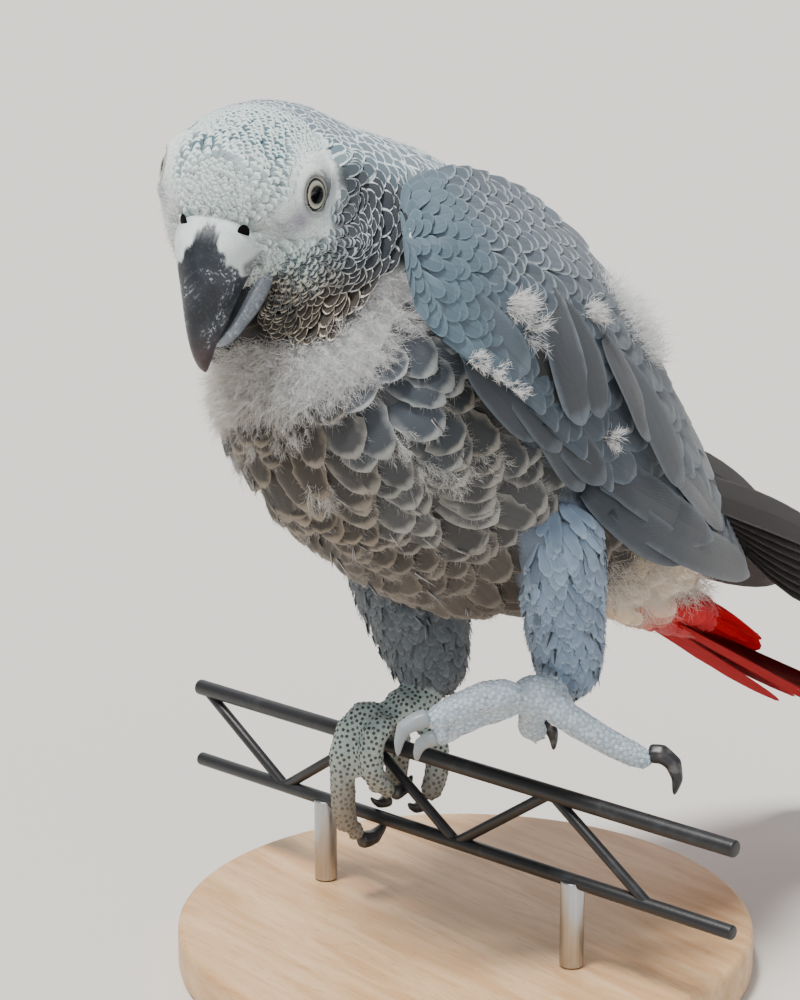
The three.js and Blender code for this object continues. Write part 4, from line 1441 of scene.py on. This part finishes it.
# The wings. Each long feather is root, middle and tip, which way it faces, half width and shade.
SLATE = linear("#343B44"), linear("#59636E")
PALE_SLATE = linear("#53616E"), linear("#6C7B89")
# A near-black pair for the covert that fills a dark gap in the wing: painted shade.
SHADE_BLACK = linear("#1B1C20"), linear("#33353A")
SECONDARIES = [
    ([(25, 50, 57), (24, 60, 46), (20.5, 69, 34)], (0.8, 0.5, 0.3), 4.2, PALE_SLATE),
    ([(29, 38, 66), (28, 52, 52), (23, 64, 38)], (0.85, 0.45, 0.3), 5.0, PALE_SLATE),
    ([(33, 26, 73), (33.5, 38, 61), (29.5, 52, 47.5)], (0.85, 0.45, 0.3), 5.0, SLATE),
    ([(37.5, 12, 67), (39.5, 28, 56), (37, 41, 49)], (0.95, 0.25, 0.2), 5.0, SLATE),
    ([(39, 6, 71), (40, 20, 61.5), (37.8, 34, 54)], (0.95, 0.25, 0.2), 5.0, SLATE),
    ([(40.5, 9, 62), (41, 28, 51.5), (33, 50, 42), (24, 66, 34)], (0.93, 0.3, 0.15), 4.9, SLATE),
    ([(39, 3, 66), (41.5, 18, 54.5), (38, 34, 46)], (0.97, 0.15, 0.0), 4.6, SLATE),
]
COVERTS = [
    # the first covert is a near-black sheet standing in for the shade in a gap of the wing
    ([(39.3, -14, 100), (40.2, -10, 92), (40.4, -5.5, 82)], (0.98, 0.1, 0.1), 2.4, SHADE_BLACK),
    ([(38.5, -27, 95), (39.8, -20, 87), (39.6, -11, 78)], (0.98, -0.1, 0.0), 3.4, SLATE),
    ([(39, -23, 97), (40.4, -15, 87), (40.4, -6, 75)], (0.98, -0.05, 0.0), 3.6, SLATE),
    ([(39, -18, 92), (40.5, -8, 79), (39.6, 1, 66)], (0.98, 0.0, 0.0), 3.8, SLATE),
    ([(39.5, -10, 88), (40.6, -3, 77), (40.4, 6, 67)], (0.99, 0.05, 0.0), 4.0, SLATE),
    ([(36.5, 10, 95), (38.6, 15, 84), (39.4, 19, 73)], (0.9, 0.35, 0.3), 3.8, SLATE),
    ([(35.6, 14, 91), (38.4, 22, 77), (38.2, 30, 62)], (0.93, 0.2, 0.3), 4.8, SLATE),
    ([(36, -1, 103), (39.9, 2.4, 91), (40.6, 4.6, 80)], (0.96, 0.1, 0.2), 3.9, SLATE),
    ([(35.6, -4, 106), (40.4, -4.4, 94), (41.4, -1, 79.5)], (0.97, 0.1, 0.2), 5.0,
     (SLATE[0], PALE_SLATE[1])),
]
SHOULDER = [([(38.4, -33, 110), (40, -24, 101), (40.6, -14.5, 91.5)], (0.99, -0.05, 0.1), 4.8,
             PALE_SLATE)]
TERTIALS = [((17 - 3 * k, 46 + 2 * k, 63 - k), (13 - 3 * k, 64 + 3 * k, 56 - 2 * k),
             (9 - 2 * k, 88 + 4 * k, 42 - 4 * k)) for k in range(3)]
PRIMARIES = [((26 - 1.1 * k, 40 + 2.6 * k, 60 - 1.2 * k),
              (23 - 0.9 * k, 72 + 2.0 * k, 47 - 2.6 * k),
              (18.5 - 0.7 * k, 98 + 2.6 * k, 35 - 2.9 * k)) for k in range(8)]
STIFF = {"camber": 0.05, "columns": 7}  # the flattest of the long feathers


def facing(out, side):
    """A way given for the left wing, turned over for the right."""
    return np.array([side * out[0], out[1], out[2]])


def blades(coat, home, feathers, outline, side, **shape):
    """The long feathers of one wing, from the lowest to the topmost."""
    for stations, out, half, (tint, rim) in feathers:
        tone = chance.normal(1, 0.06)
        blade(coat, home, mirrored(stations, side), facing(out, side), half, outline,
              tint * tone, rim, **shape)


wing_coat, covert_coat, flight_coat = Coat(), Coat(), Coat()
for side, sign in EYE_SIDES.items():
    home = wing_tracts[side]
    lay(wing_coat, home,
        by_distance((0, 1.7), (20, 2.3), (45, 3.2), (66, 5.0), (90, 7.5), (110, 9.0)),
        by_distance((0, 2.9), (20, 3.6), (45, 4.8), (66, 6.5), (90, 8.5), (110, 9.0)),
        2.9, 0.5, 112, "long", wing_colours, hidden=-3.0,
        sink=by_distance((0, 1.0), (60, 1.4), (110, 1.6)), lift=0.2, thick=0.2, camber=0.05,
        fray=0.03, columns=5, spread=0.66)
    blades(covert_coat, home, COVERTS, "flight", sign, sink=0.7, lift=0.5, thick=0.3,
           camber=0.07, columns=7, fray=0.02)
    blades(covert_coat, home, SHOULDER, "flight", sign, sink=2.0, lift=0.4, thick=0.3, fray=0.02,
           **STIFF)
    blades(flight_coat, home, SECONDARIES, "pointed", sign, sink=1.0, lift=0.2, thick=0.35,
           camber=0.07, columns=7, fray=0.02)
wing_coat.build("feathers_wings", wing_finish, "feathers_wing")
covert_coat.build("feathers_coverts", wing_finish, "feathers_wing")
flight_coat.build("feathers_secondaries", wing_finish, "feathers_wing",
                  *[f"wing_{side}_secondaries" for side in EYE_SIDES])

dark_coat = Coat()
for side, sign in EYE_SIDES.items():
    for stations in TERTIALS:
        blade(dark_coat, wing_tracts[side], mirrored(stations, sign),
              facing((0.7, 0.1, 0.7), sign), 6.0, "flight", linear("#2A2627"),
              linear("#3E3839"), sink=0.3, lift=0.2, thick=0.35, fray=0.01, **STIFF)
    for stations in PRIMARIES:
        blade(dark_coat, wing_tracts[side], mirrored(stations, sign),
              facing((0.75, 0.25, 0.6), sign), 5.4, "flight",
              linear("#2B2728") * chance.normal(1, 0.1), linear("#463F40"), sink=0.3, lift=0.2,
              thick=0.35, fray=0.01, **STIFF)
dark_coat.build("feathers_primaries", flight_finish, "feathers_dark",
                *[f"wing_{side}_primaries" for side in EYE_SIDES])

# The tail: twelve feathers in a fan, the outer ones lowest, under a ring of red coverts.
tail_coat = Coat()
for k in (0, 11, 1, 10, 2, 9, 3, 8, 4, 7, 5, 6):
    s = (k - 5.5) / 5.5
    root = np.array([4 * s, 52, 27.6 - 1.2 * abs(s)])
    tip = np.array([16 * s, 128 - 8 * s * s, -12 - 4 * s * s])
    red = RED * chance.normal(1, 0.08)
    blade(tail_coat, rump_tract, [root, (root + tip) / 2, tip], np.array([0, 0.46, 0.89]), 7.0,
          "flight", red, red, sink=0.4, lift=0.1, thick=0.4, fray=0.06, **STIFF)
tail_way = np.array([0, 0.87, -0.47])
end = rump_tract.grid[-1].mean(0)
for c in range(0, rump_tract.columns, 3):
    root, middle = rump_tract.grid[18, c], rump_tract.grid[36, c]
    tip = end + (middle - end) * 0.55 + tail_way * chance.uniform(13, 19)
    blade(tail_coat, rump_tract, [root, middle, tip], rump_tract.normal[36, c], 3.6, "shaggy",
          RED * chance.normal(1, 0.08), RED, sink=0.5, lift=0.6, thick=0.25, camber=0.1,
          columns=7, fray=0.15)
tail_coat.build("feathers_tail", tail_finish, "feathers_red", "tail_feathers")


# ---------------------------------------------------------------- down
def collar_colours(points):
    """Cream to the bird's right under the bill, cool white towards its left."""
    cool = smooth(0, 14, points[:, 0])
    colour = blend(linear("#D6CBBB"), linear("#F3F4F5"), cool)
    return colour, colour


def cotton(points):
    """Where the loose barbs of the collar grow: clear of the edge of the hood."""
    return ~within(points, HOOD_ANGLE + 1) * in_collar(points)


down_coat = Coat()
for length, count, lie, sink in ((5.0, 60000, 0.7, 1.2), (3.4, 90000, 0.5, 0.4)):
    fuzz(down_coat, trunk_tract, cotton, count, length, collar_colours, thick=0.04, lie=lie,
         first=0.0, last=0.45, clumps=0.9, sink=sink)
for point in COLLAR[::4]:
    tuft(down_coat, trunk_tract, point + (0, -1.5, -4), 4.5, 16, 5.0,
         collar_colours(point[None])[0][0], stand=0.25, barbs=20, thick=0.035)
BREAST_TUFTS = [  # where, how wide, how many plumes, and their colour
    ((-6, -50.5, 83), 4, 40, "#D9D3C8"), ((0, -50.5, 78), 4, 34, "#C9C1B5"),
    ((9, -49.5, 81), 5, 50, "#C4BCB1"), ((12, -43, 67), 3.5, 40, "#DAD5CC"),
    ((29, -36, 80), 3, 22, "#C9C7C2"), ((31, -30, 74), 3, 26, "#E3E1DC"),
    ((33, -25, 73), 3, 30, "#EAE8E3"), ((35, -19, 76), 3, 22, "#D8D2C2"),
    ((-10, -46, 71), 3, 24, "#C9C4BB"),
]
for point, radius, count, shade in BREAST_TUFTS:
    tuft(down_coat, trunk_tract, point, radius, count, 5.5, linear(shade), stand=0.28,
         thick=0.05)
VENT_TUFTS = [(28, 24, 44), (22, 38, 38), (12, 52, 32), (0, 56, 28), (-12, 52, 32),
              (-22, 38, 38)]
for point in VENT_TUFTS:
    tuft(down_coat, trunk_tract, point, 9, 90, 11, linear("#F0DFC8"), stand=0.35, thick=0.06,
         barbs=14)
down_coat.build("down_body", down_finish, "feathers_down")

wing_down = Coat()
WING_TUFTS = [  # where, how many plumes, how long, and how wide the tuft is
    ((38.8, -16.5, 104), 44, 7.0, 1.6), ((39.6, -13, 99), 14, 8.0, 1.5),
    ((34.2, 7.6, 100), 30, 5.5, 1.8), ((40, 8.1, 75), 12, 6.0, 1.0),
    ((38.4, -28, 94), 18, 4.0, 1.5), ((38.6, -24, 91), 16, 4.0, 1.5),
    ((38.8, -20, 87), 12, 3.5, 1.5),
]
for point, count, length, radius in WING_TUFTS:
    tuft(wing_down, wing_tracts["left"], point, radius, count, length, WHITE_DOWN, stand=0.62,
         sink=0.2, barbs=9, thick=0.07)
tuft(wing_down, trunk_tract, (18, 30, 94), 9.0, 460, 13.5, linear("#FFFFFF"), stand=0.9,
     way=(0.25, 0.35, 0.3), barbs=20, thick=0.07)
wing_down.build("down_wings", down_finish, "feathers_down")


# ---------------------------------------------------------------- skin finish and foot plates
def skin_colours(points, parts):
    """The markings of the coat, carried darker by the skin under it as painted shade between the
    feathers, and the bare face and feet.
    """
    colour = np.zeros((len(points), 3))
    part = np.array(PART_NAMES)[parts]
    for names, colours in ((("head", "neck"), head_colours), (("trunk", "rump"), trunk_colours),
                           (("wing_left", "wing_right"), wing_colours),
                           (("thigh_left",), thigh_colours("left")),
                           (("thigh_right",), thigh_colours("right"))):
        here = np.isin(part, names)
        # The coat's centre colours at 0.55: painted shade where the skin shows deep between the
        # feathers.
        colour[here] = colours(points[here])[0] * 0.55
    body = np.isin(part, ("head", "neck", "trunk"))
    # the collar's colour at 0.8: painted shade in the gaps of the down
    colour[body] = blend(colour[body], collar_colours(points[body])[0] * 0.8,
                         in_collar(points[body]) * ~under_hood(points[body]))
    left, right = part == "foot_left", part == "foot_right"
    colour[left] = linear("#A3B3C1")
    low = smooth(2, -14, points[right, 2])
    colour[right] = blend(linear("#A8B9B6"), linear("#8B867B"), low)
    bare = bare_face(points, 1.3)
    face = linear("#E6F0EE") * np.ones((len(points), 1))
    for sign in EYE_SIDES.values():
        rise, ring, back, over = from_eye(points, sign)
        ring = lid_ring(back, over) + 9 * (rise < 0)
        for place, reach, share in (((-4.5, -3.4), 4.6, 0.9), ((-8, -4.5), 4, 0.6),
                                    ((4.4, 0.6), 4, 0.5)):
            shadow = share * near(np.stack([back, over], 1), place, reach) * (rise > -5)
            face = blend(face, linear("#918D9F"), shadow)
        face = blend(face, linear("#B4B8B8"), 0.7 * (1 - smooth(3.6, 4.4, ring)))
        beads = 0.5 + 0.5 * np.sin(9 * np.arctan2(over, back) * 3)
        fold = (1 - smooth(3.3, 3.55, ring)) * smooth(3.0, 3.2, ring)
        fold = fold * smooth(-1.5, 1.5, over - back) * (0.55 + 0.45 * beads)
        face = blend(face, linear("#4A4848"), fold)
    return blend(colour, face, bare)


ends = edge_ends(skin.data)
paint(skin.data, "tint", averaged(skin_colours(skin_points, skin_parts), ends, 1, 0.3))
# Living skin is thin and powdered: matt, and a little light passes through it.
skin_finish, tree, shader = new_material("skin, fine creases under a dusting of down",
                                         Roughness=0.6, Subsurface_Weight=0.15,
                                         Subsurface_Scale=0.0015)
tint = add(tree, "Attribute", attribute_name="tint")[0]
spot = add(tree, "TexCoord")["Object"]
pores = add(tree, "TexVoronoi", {"Vector": spot, "Scale": 1300.0},
            feature="DISTANCE_TO_EDGE")[0]
surfaced(tree, shader, marked(tree, tint, pores, 0.25, 0.0, 0.2, rgba("#5A5556")), pores, 0.4)
settle(skin, skin_finish, "feathers_grey", *FLESH)


def scattered(points, gap):
    """Points at least a gap apart, picked in a random order."""
    finder = KDTree(len(points))
    for k, point in enumerate(points.tolist()):
        finder.insert(point, k)
    finder.balance()
    free = np.ones(len(points), bool)
    kept = []
    for k in chance.permutation(len(points)):
        if free[k]:
            kept.append(k)
            for place, other, far in finder.find_range(points[k], gap):
                free[other] = False
    return np.array(kept)


def skin_samples(part_name, density):
    """Random points on one part of the skin with their normals, so many to a square
    millimetre."""
    corners = skin_corners.reshape(-1, 3)
    inside = (skin_parts[corners] == PART_NAMES.index(part_name)).all(1)
    corners = corners[inside]
    a, b, c = (skin_points[corners[:, k]] for k in range(3))
    cross = np.cross(b - a, c - a)
    area = np.linalg.norm(cross, axis=1) / 2
    count = int(area.sum() * density)
    pick = chance.choice(len(corners), count, p=area / area.sum())
    s, t = chance.random((2, count))
    over = s + t > 1
    s[over], t[over] = 1 - s[over], 1 - t[over]
    points = a[pick] + s[:, None] * (b - a)[pick] + t[:, None] * (c - a)[pick]
    return points, unit(cross)[pick]


def foot_place(points, corner):
    """Places on the bake's map: the toes unrolled from round the perch, the shank above them."""
    along = points @ ALONG
    round_wire = np.arctan2(points[:, 2], points @ np.array([-ALONG[1], ALONG[0], 0]))
    middle = points[:, :2].mean(0)
    round_shank = np.arctan2(*(points[:, :2] - middle).T)
    toes = np.stack([np.ptp(along) and (along - along.min()) / np.ptp(along) * 0.46,
                     0.28 + round_wire / 24], 1)
    shank = np.stack([0.23 + round_shank / 14, 0.62 + np.clip(points[:, 2] - 9, 0, 20) / 60], 1)
    return np.where(points[:, 2:] > 9, shank, toes) + corner


def plates(coat, points, normals, radius, height, tint, rim, place):
    """Low rounded scales standing on the skin."""
    count, sides = len(points), 7
    first = unit(np.cross(normals, chance.normal(0, 1, normals.shape)))
    second = np.cross(normals, first)
    turn = np.arange(sides) * 2 * math.pi / sides
    way = (np.cos(turn)[:, None] * first[:, None] + np.sin(turn)[:, None] * second[:, None])
    radius = each(radius, count)
    rings = []
    for share, rise in ((1.0, -0.15), (0.95, 0.1), (0.55, 0.25)):
        rings.append(points[:, None] + way * (radius * share)[:, None, None]
                     + normals[:, None] * height * rise / 0.25)
    ring = np.stack(rings, 1)
    join_rings(coat, ring, 1, tint, rim, np.array([0.0, 0.5, 1.0]), np.zeros(sides), place)


# Dry scales of horn: matt, with chalk in the grain.
foot_finish, tree, shader = new_material("foot scales, dry and chalky", Roughness=0.62)
tint = add(tree, "Attribute", attribute_name="tint")[0]
spot = add(tree, "TexCoord")["Object"]
grain = add(tree, "TexNoise", {"Vector": spot, "Scale": 900.0, "Detail": 4.0})[0]
surfaced(tree, shader, marked(tree, tint, grain, 0.35, 0.75, 0.5, rgba("#8A8A86")))
foot_coat = Coat()
# Each foot's plates: their colour high and low, the gap between them, their radius, and the
# foot's corner of the bake's map.
for side, shades, gap, radius, corner in (
        ("left", ("#BBC9D5", "#A9B7C4"), 0.84, 0.56, (0.52, 0.02)),
        ("right", ("#2F3532", "#5E5A50"), 1.0, 0.4, (0.02, 0.02))):
    points, normals = skin_samples(f"foot_{side}", 14)
    kept = scattered(points, gap)
    points, normals = points[kept], normals[kept]
    low = smooth(2, -14, points[:, 2])
    colour = varied(blend(linear(shades[0]), linear(shades[1]), low), len(points), 0.06)
    plates(foot_coat, points, normals, radius, 0.09, colour, colour, foot_place(points, corner))
foot_coat.build("foot_scales", foot_finish, "foot_skin")


# ---------------------------------------------------------------- eyes and claws
# A wet clear cornea over a dull iris: one sharp highlight.
eye_finish, tree, shader = new_material("eye, wet and clear over the iris", Roughness=0.12,
                                        Coat_Weight=1.0, Coat_Roughness=0.02, Coat_IOR=1.38)
surfaced(tree, shader, add(tree, "Attribute", attribute_name="tint")[0])
PUPIL, IRIS, LIMBUS = 1.72, 2.36, 2.8  # their outer radii
MERIDIANS = 48
for side, sign in EYE_SIDES.items():
    angles = np.radians(np.concatenate([np.linspace(0, 60, 41), np.linspace(64, 180, 18)]))
    turn = np.arange(MERIDIANS) * 2 * math.pi / MERIDIANS
    middle, axis, first = eye_frame(sign)[:3]
    second = np.cross(axis, first)
    ring = (middle + EYE_RADIUS * (EYE_DEPTH * np.cos(angles)[1:-1, None, None] * axis
            + np.sin(angles)[1:-1, None, None] * (np.cos(turn)[:, None] * first
                                                  + np.sin(turn)[:, None] * second)))
    points = np.concatenate([ring.reshape(-1, 3), [middle + EYE_RADIUS * EYE_DEPTH * axis],
                             [middle - EYE_RADIUS * EYE_DEPTH * axis]])
    index, turned, quads = ring_faces(len(ring), MERIDIANS)
    top, bottom = (np.full(MERIDIANS, len(points) - k) for k in (2, 1))
    caps = [np.stack([top, index[0], turned[0]], -1), np.stack([bottom, turned[-1], index[-1]], -1)]
    made = mesh_object(f"eye_{side}_ball", points,
                       np.concatenate([quads, *[cap.ravel() for cap in caps]]),
                       np.concatenate([np.full(len(quads) // 4, 4), np.full(2 * MERIDIANS, 3)]))
    off = points - middle
    radius = np.linalg.norm(off - (off @ axis)[:, None] * axis, axis=1)
    oval = lid_ring(*from_eye(points, sign)[2:])
    front = off @ axis > 0
    iris = blend(linear("#8F8B7C"), linear("#C9C6B6"), smooth(PUPIL, IRIS, radius))
    colour = blend(linear("#050505"), iris, smooth(PUPIL - 0.12, PUPIL + 0.12, radius))
    colour = blend(colour, linear("#141213"), smooth(IRIS, IRIS + 0.1, oval))
    white = np.where(front, smooth(LIMBUS, LIMBUS + 0.1, oval), 1)
    paint(made.data, "tint", blend(colour, linear("#B9B7B2"), white))
    settle(made, eye_finish, "eye", f"eye_{side}")


def fine_copy(name, node, voxel, calm):
    """A smooth copy of a CAD node, refined by a voxel remesh."""
    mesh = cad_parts[node].data.copy()
    mesh.materials.clear()
    made = bpy.data.objects.new(name, mesh)
    bpy.context.scene.collection.objects.link(made)
    made.select_set(True)
    remeshed(made, voxel)
    bpy.ops.object.select_all(action="DESELECT")
    made.data.polygons.foreach_set("use_smooth", np.ones(len(made.data.polygons), bool))
    set_points(made.data, averaged(points_of(made.data), edge_ends(made.data), calm))
    return made


# Claw horn is worn by what it grips: dark, with a low shine and dull patches.
claw_finish, tree, shader = new_material("claw horn, dark and worn", Roughness=0.38)
spot = add(tree, "TexCoord")["Object"]
worn = add(tree, "TexNoise", {"Vector": spot, "Scale": 500.0, "Detail": 5.0})[0]
tint = add(tree, "Attribute", attribute_name="tint")[0]
surfaced(tree, shader, marked(tree, tint, worn, 0.45, 0.75, 0.4, rgba("#85817E")))
CLAW_VOXEL, CLAW_CALM = 0.22, 14
CLAW_GROWTH = 1.2  # smoothing thins a claw, so it is swollen again about its tip
CLAW_SHIFT = {"left": 0.9, "right": 0.2}  # and moved back into its toe
PALE_CLAWS = ("left_2", "left_3")
for claw in [f"{side}_{n}" for side in EYE_SIDES for n in (1, 2, 3, 4)]:
    made = fine_copy(f"claw_{claw}_horn", f"claw_{claw}", CLAW_VOXEL, CLAW_CALM)
    toe = node_tree_of(f"toe_{claw}")
    points = points_of(made.data)
    tip = points[gaps_to(toe, points).argmax()]
    middle = points.mean(0)
    inward = unit(np.array(toe.find_nearest(Vector(middle))[0]) - middle)
    shift = inward * CLAW_SHIFT[claw.split("_")[0]]
    set_points(made.data, tip + (points - tip) * CLAW_GROWTH + shift)
    shade = "#8E969B" if claw in PALE_CLAWS else "#26262A"
    paint(made.data, "tint", np.ones((len(points), 1)) * linear(shade))
    settle(made, claw_finish, "claw_horn", f"claw_{claw}")


# ---------------------------------------------------------------- perch and stand
def on_perch(x, y, z):
    """A place on the perch, whose x runs along the wire, in the bird's frame."""
    return np.array([x * math.cos(PERCH_TURN) - y * math.sin(PERCH_TURN),
                     x * math.sin(PERCH_TURN) + y * math.cos(PERCH_TURN), z])


def cylinder(name, middle, radius, length, sides, round_off, segments, rotation=(0, 0, 0)):
    """A cylinder with its ends rounded over; sizes are in metres."""
    bpy.ops.mesh.primitive_cylinder_add(vertices=sides, radius=radius, depth=length,
                                        location=middle, rotation=rotation)
    made = bpy.context.object
    made.name = name
    bpy.ops.object.transform_apply(location=True, rotation=True, scale=True)
    bevel = made.modifiers.new("rounded_ends", "BEVEL")
    bevel.width = round_off
    bevel.segments = segments
    bevel.angle_limit = math.radians(50)
    bpy.ops.object.modifier_apply(modifier="rounded_ends")
    bpy.ops.object.shade_smooth_by_angle(angle=math.radians(40))
    bpy.ops.object.select_all(action="DESELECT")
    return made


def round_bar(name, start, end, radius, sides, round_off):
    """A bar between two points of the bird's frame."""
    start, end = Vector((start + BIRD) * MM), Vector((end + BIRD) * MM)
    way = end - start
    return cylinder(name, (start + end) / 2, radius * MM, way.length, sides, round_off * MM,
                    3, way.to_track_quat("Z", "Y").to_euler())


# Powder coat, baked on: black with the fine dimples of orange peel, and dust lying on it.
wire, tree, shader = new_material("black powder coat over steel wire", Roughness=0.42)
spot = add(tree, "TexCoord")["Object"]
peel = add(tree, "TexNoise", {"Vector": spot, "Scale": 1500.0, "Detail": 2.0})[0]
dust = add(tree, "TexNoise", {"Vector": spot, "Scale": 160.0, "Detail": 6.0})[0]
surfaced(tree, shader, marked(tree, rgba("#1D1E21"), dust, 0.5, 0.8, 0.35, rgba("#55585C")), peel)

RAIL_RADIUS, LOWER_RADIUS, STRUT_RADIUS = 1.75, 1.5, 1.15
TRUSS_DEPTH, STRUT_START, STRUT_PITCH, PERCH_LENGTH = 17.3, -73, 25.5, 150
BAR_SIDES, BAR_END = 32, 0.45  # how many faces go round a wire, and how far its ends round over
bars = [("perch_rail_upper", (-PERCH_LENGTH / 2, 0, 0), (PERCH_LENGTH / 2, 0, 0), RAIL_RADIUS),
        ("perch_rail_lower", (-PERCH_LENGTH / 2, 0, -TRUSS_DEPTH),
         (PERCH_LENGTH / 2, 0, -TRUSS_DEPTH), LOWER_RADIUS)]
for i in range(5):
    x = STRUT_START + i * STRUT_PITCH
    low, high = (0, -TRUSS_DEPTH) if i % 2 == 0 else (-TRUSS_DEPTH, 0)
    bars.append((f"perch_strut_{i + 1}", (x, 0, low), (x + STRUT_PITCH, 0, high), STRUT_RADIUS))
for node, start, end, radius in bars:
    made = round_bar(node + "_wire", on_perch(*start), on_perch(*end), radius, BAR_SIDES,
                     BAR_END)
    settle(made, wire, "perch_wire", node)

# Brushed along the rod: fine lines run its length and break up the highlight.
steel, tree, shader = new_material("steel rod, brushed along its length", Metallic=1.0,
                                   Roughness=0.32)
spot = add(tree, "TexCoord")["Object"]
brushed = add(tree, "Mapping", {"Vector": spot, "Scale": (1.0, 1.0, 0.02)})[0]
lines = add(tree, "TexNoise", {"Vector": brushed, "Scale": 3000.0, "Detail": 3.0})[0]
colour = add(tree, "Mix", {0: lines, 6: rgba("#9A9C9F"), 7: rgba("#C6C8CA")},
             data_type="RGBA")[2]
surfaced(tree, shader, colour)
ROD_RADIUS, ROD_SIDES, ROD_END = 2.5, 40, 0.2
for n, x in ((1, -35), (2, 35)):
    low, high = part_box(f"stand_rod_{n}")
    top = on_perch(x, 0, -TRUSS_DEPTH)
    start = np.array([*top[:2], low.z / MM - BIRD[2]])
    end = np.array([*top[:2], high.z / MM - BIRD[2]])
    made = round_bar(f"stand_rod_{n}_steel", start, end, ROD_RADIUS, ROD_SIDES, ROD_END)
    settle(made, steel, "stand_steel", f"stand_rod_{n}")

# Oiled beech: a warm pale brown, low shine, and the short dark flecks of its rays.
beech, tree, shader = new_material("beech, turned and oiled", Roughness=0.45)
spot = add(tree, "TexCoord")["Object"]
along = add(tree, "Mapping", {"Vector": spot, "Scale": (1.0, 9.0, 9.0),
                              "Rotation": (0.0, 0.0, 0.3)})[0]
grain = add(tree, "TexNoise", {"Vector": along, "Scale": 28.0, "Detail": 6.0,
                               "Distortion": 0.6})[0]
flecks = add(tree, "TexNoise", {"Vector": along, "Scale": 260.0, "Detail": 2.0})[0]
wood = marked(tree, rgba("#C79A6B"), grain, 0.3, 0.7, 1.0, rgba("#DDB88C"))
surfaced(tree, shader, marked(tree, wood, flecks, 0.55, 0.7, 0.4, rgba("#A97B4E")))
BASE_SIDES, BASE_EDGE = 128, 1.6
low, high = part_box("stand_base")
base = cylinder("stand_base_beech", (low + high) / 2, (high.x - low.x) / 2, high.z - low.z,
                BASE_SIDES, BASE_EDGE * MM, 4)
settle(base, beech, "stand_wood", "stand_base")

# ---------------------------------------------------------------- floor, light and camera
bpy.ops.mesh.primitive_plane_add(size=30, location=(0, 0, 0))
floor = bpy.context.object
floor.name = "floor"
floor_finish, tree, shader = new_material("plain pale floor", Roughness=0.9)
shader.inputs["Base Color"].default_value = rgba("#D9D6D0")
floor.data.materials.append(floor_finish)
bpy.ops.object.select_all(action="DESELECT")


def soft_sun(name, way, strength, width, colour="#FFFFFF"):
    """Light from far off, the same over the whole floor; width in degrees softens its shadows."""
    lamp = bpy.data.lights.new(name, "SUN")
    lamp.energy = strength
    lamp.angle = math.radians(width)
    lamp.color = linear(colour)
    holder = bpy.data.objects.new(name, lamp)
    holder.rotation_euler = Vector(way).to_track_quat("-Z", "Y").to_euler()
    bpy.context.scene.collection.objects.link(holder)


soft_sun("key", (0.0, 0.35, -1.0), 4.8, 14, "#FFFCF8")
soft_sun("fill", (-0.9, 0.4, -0.45), 0.9, 70, "#F6F8FF")
soft_sun("back", (0.7, -0.6, -0.7), 0.7, 60)

world = bpy.data.worlds.new("room")
bpy.context.scene.world = world
world.use_nodes = True
walls = world.node_tree.nodes["Background"]
walls.inputs["Color"].default_value = rgba("#F1F2F2")
walls.inputs["Strength"].default_value = 0.42

camera = bpy.data.objects.new("camera", bpy.data.cameras.new("camera"))
camera.data.lens = 96.5
camera.data.clip_start = 0.01
camera.location = (0.4067, -0.3534, 0.2360)
camera.rotation_euler = (math.radians(76), 0, math.radians(50.5))
bpy.context.scene.collection.objects.link(camera)
bpy.context.scene.camera = camera
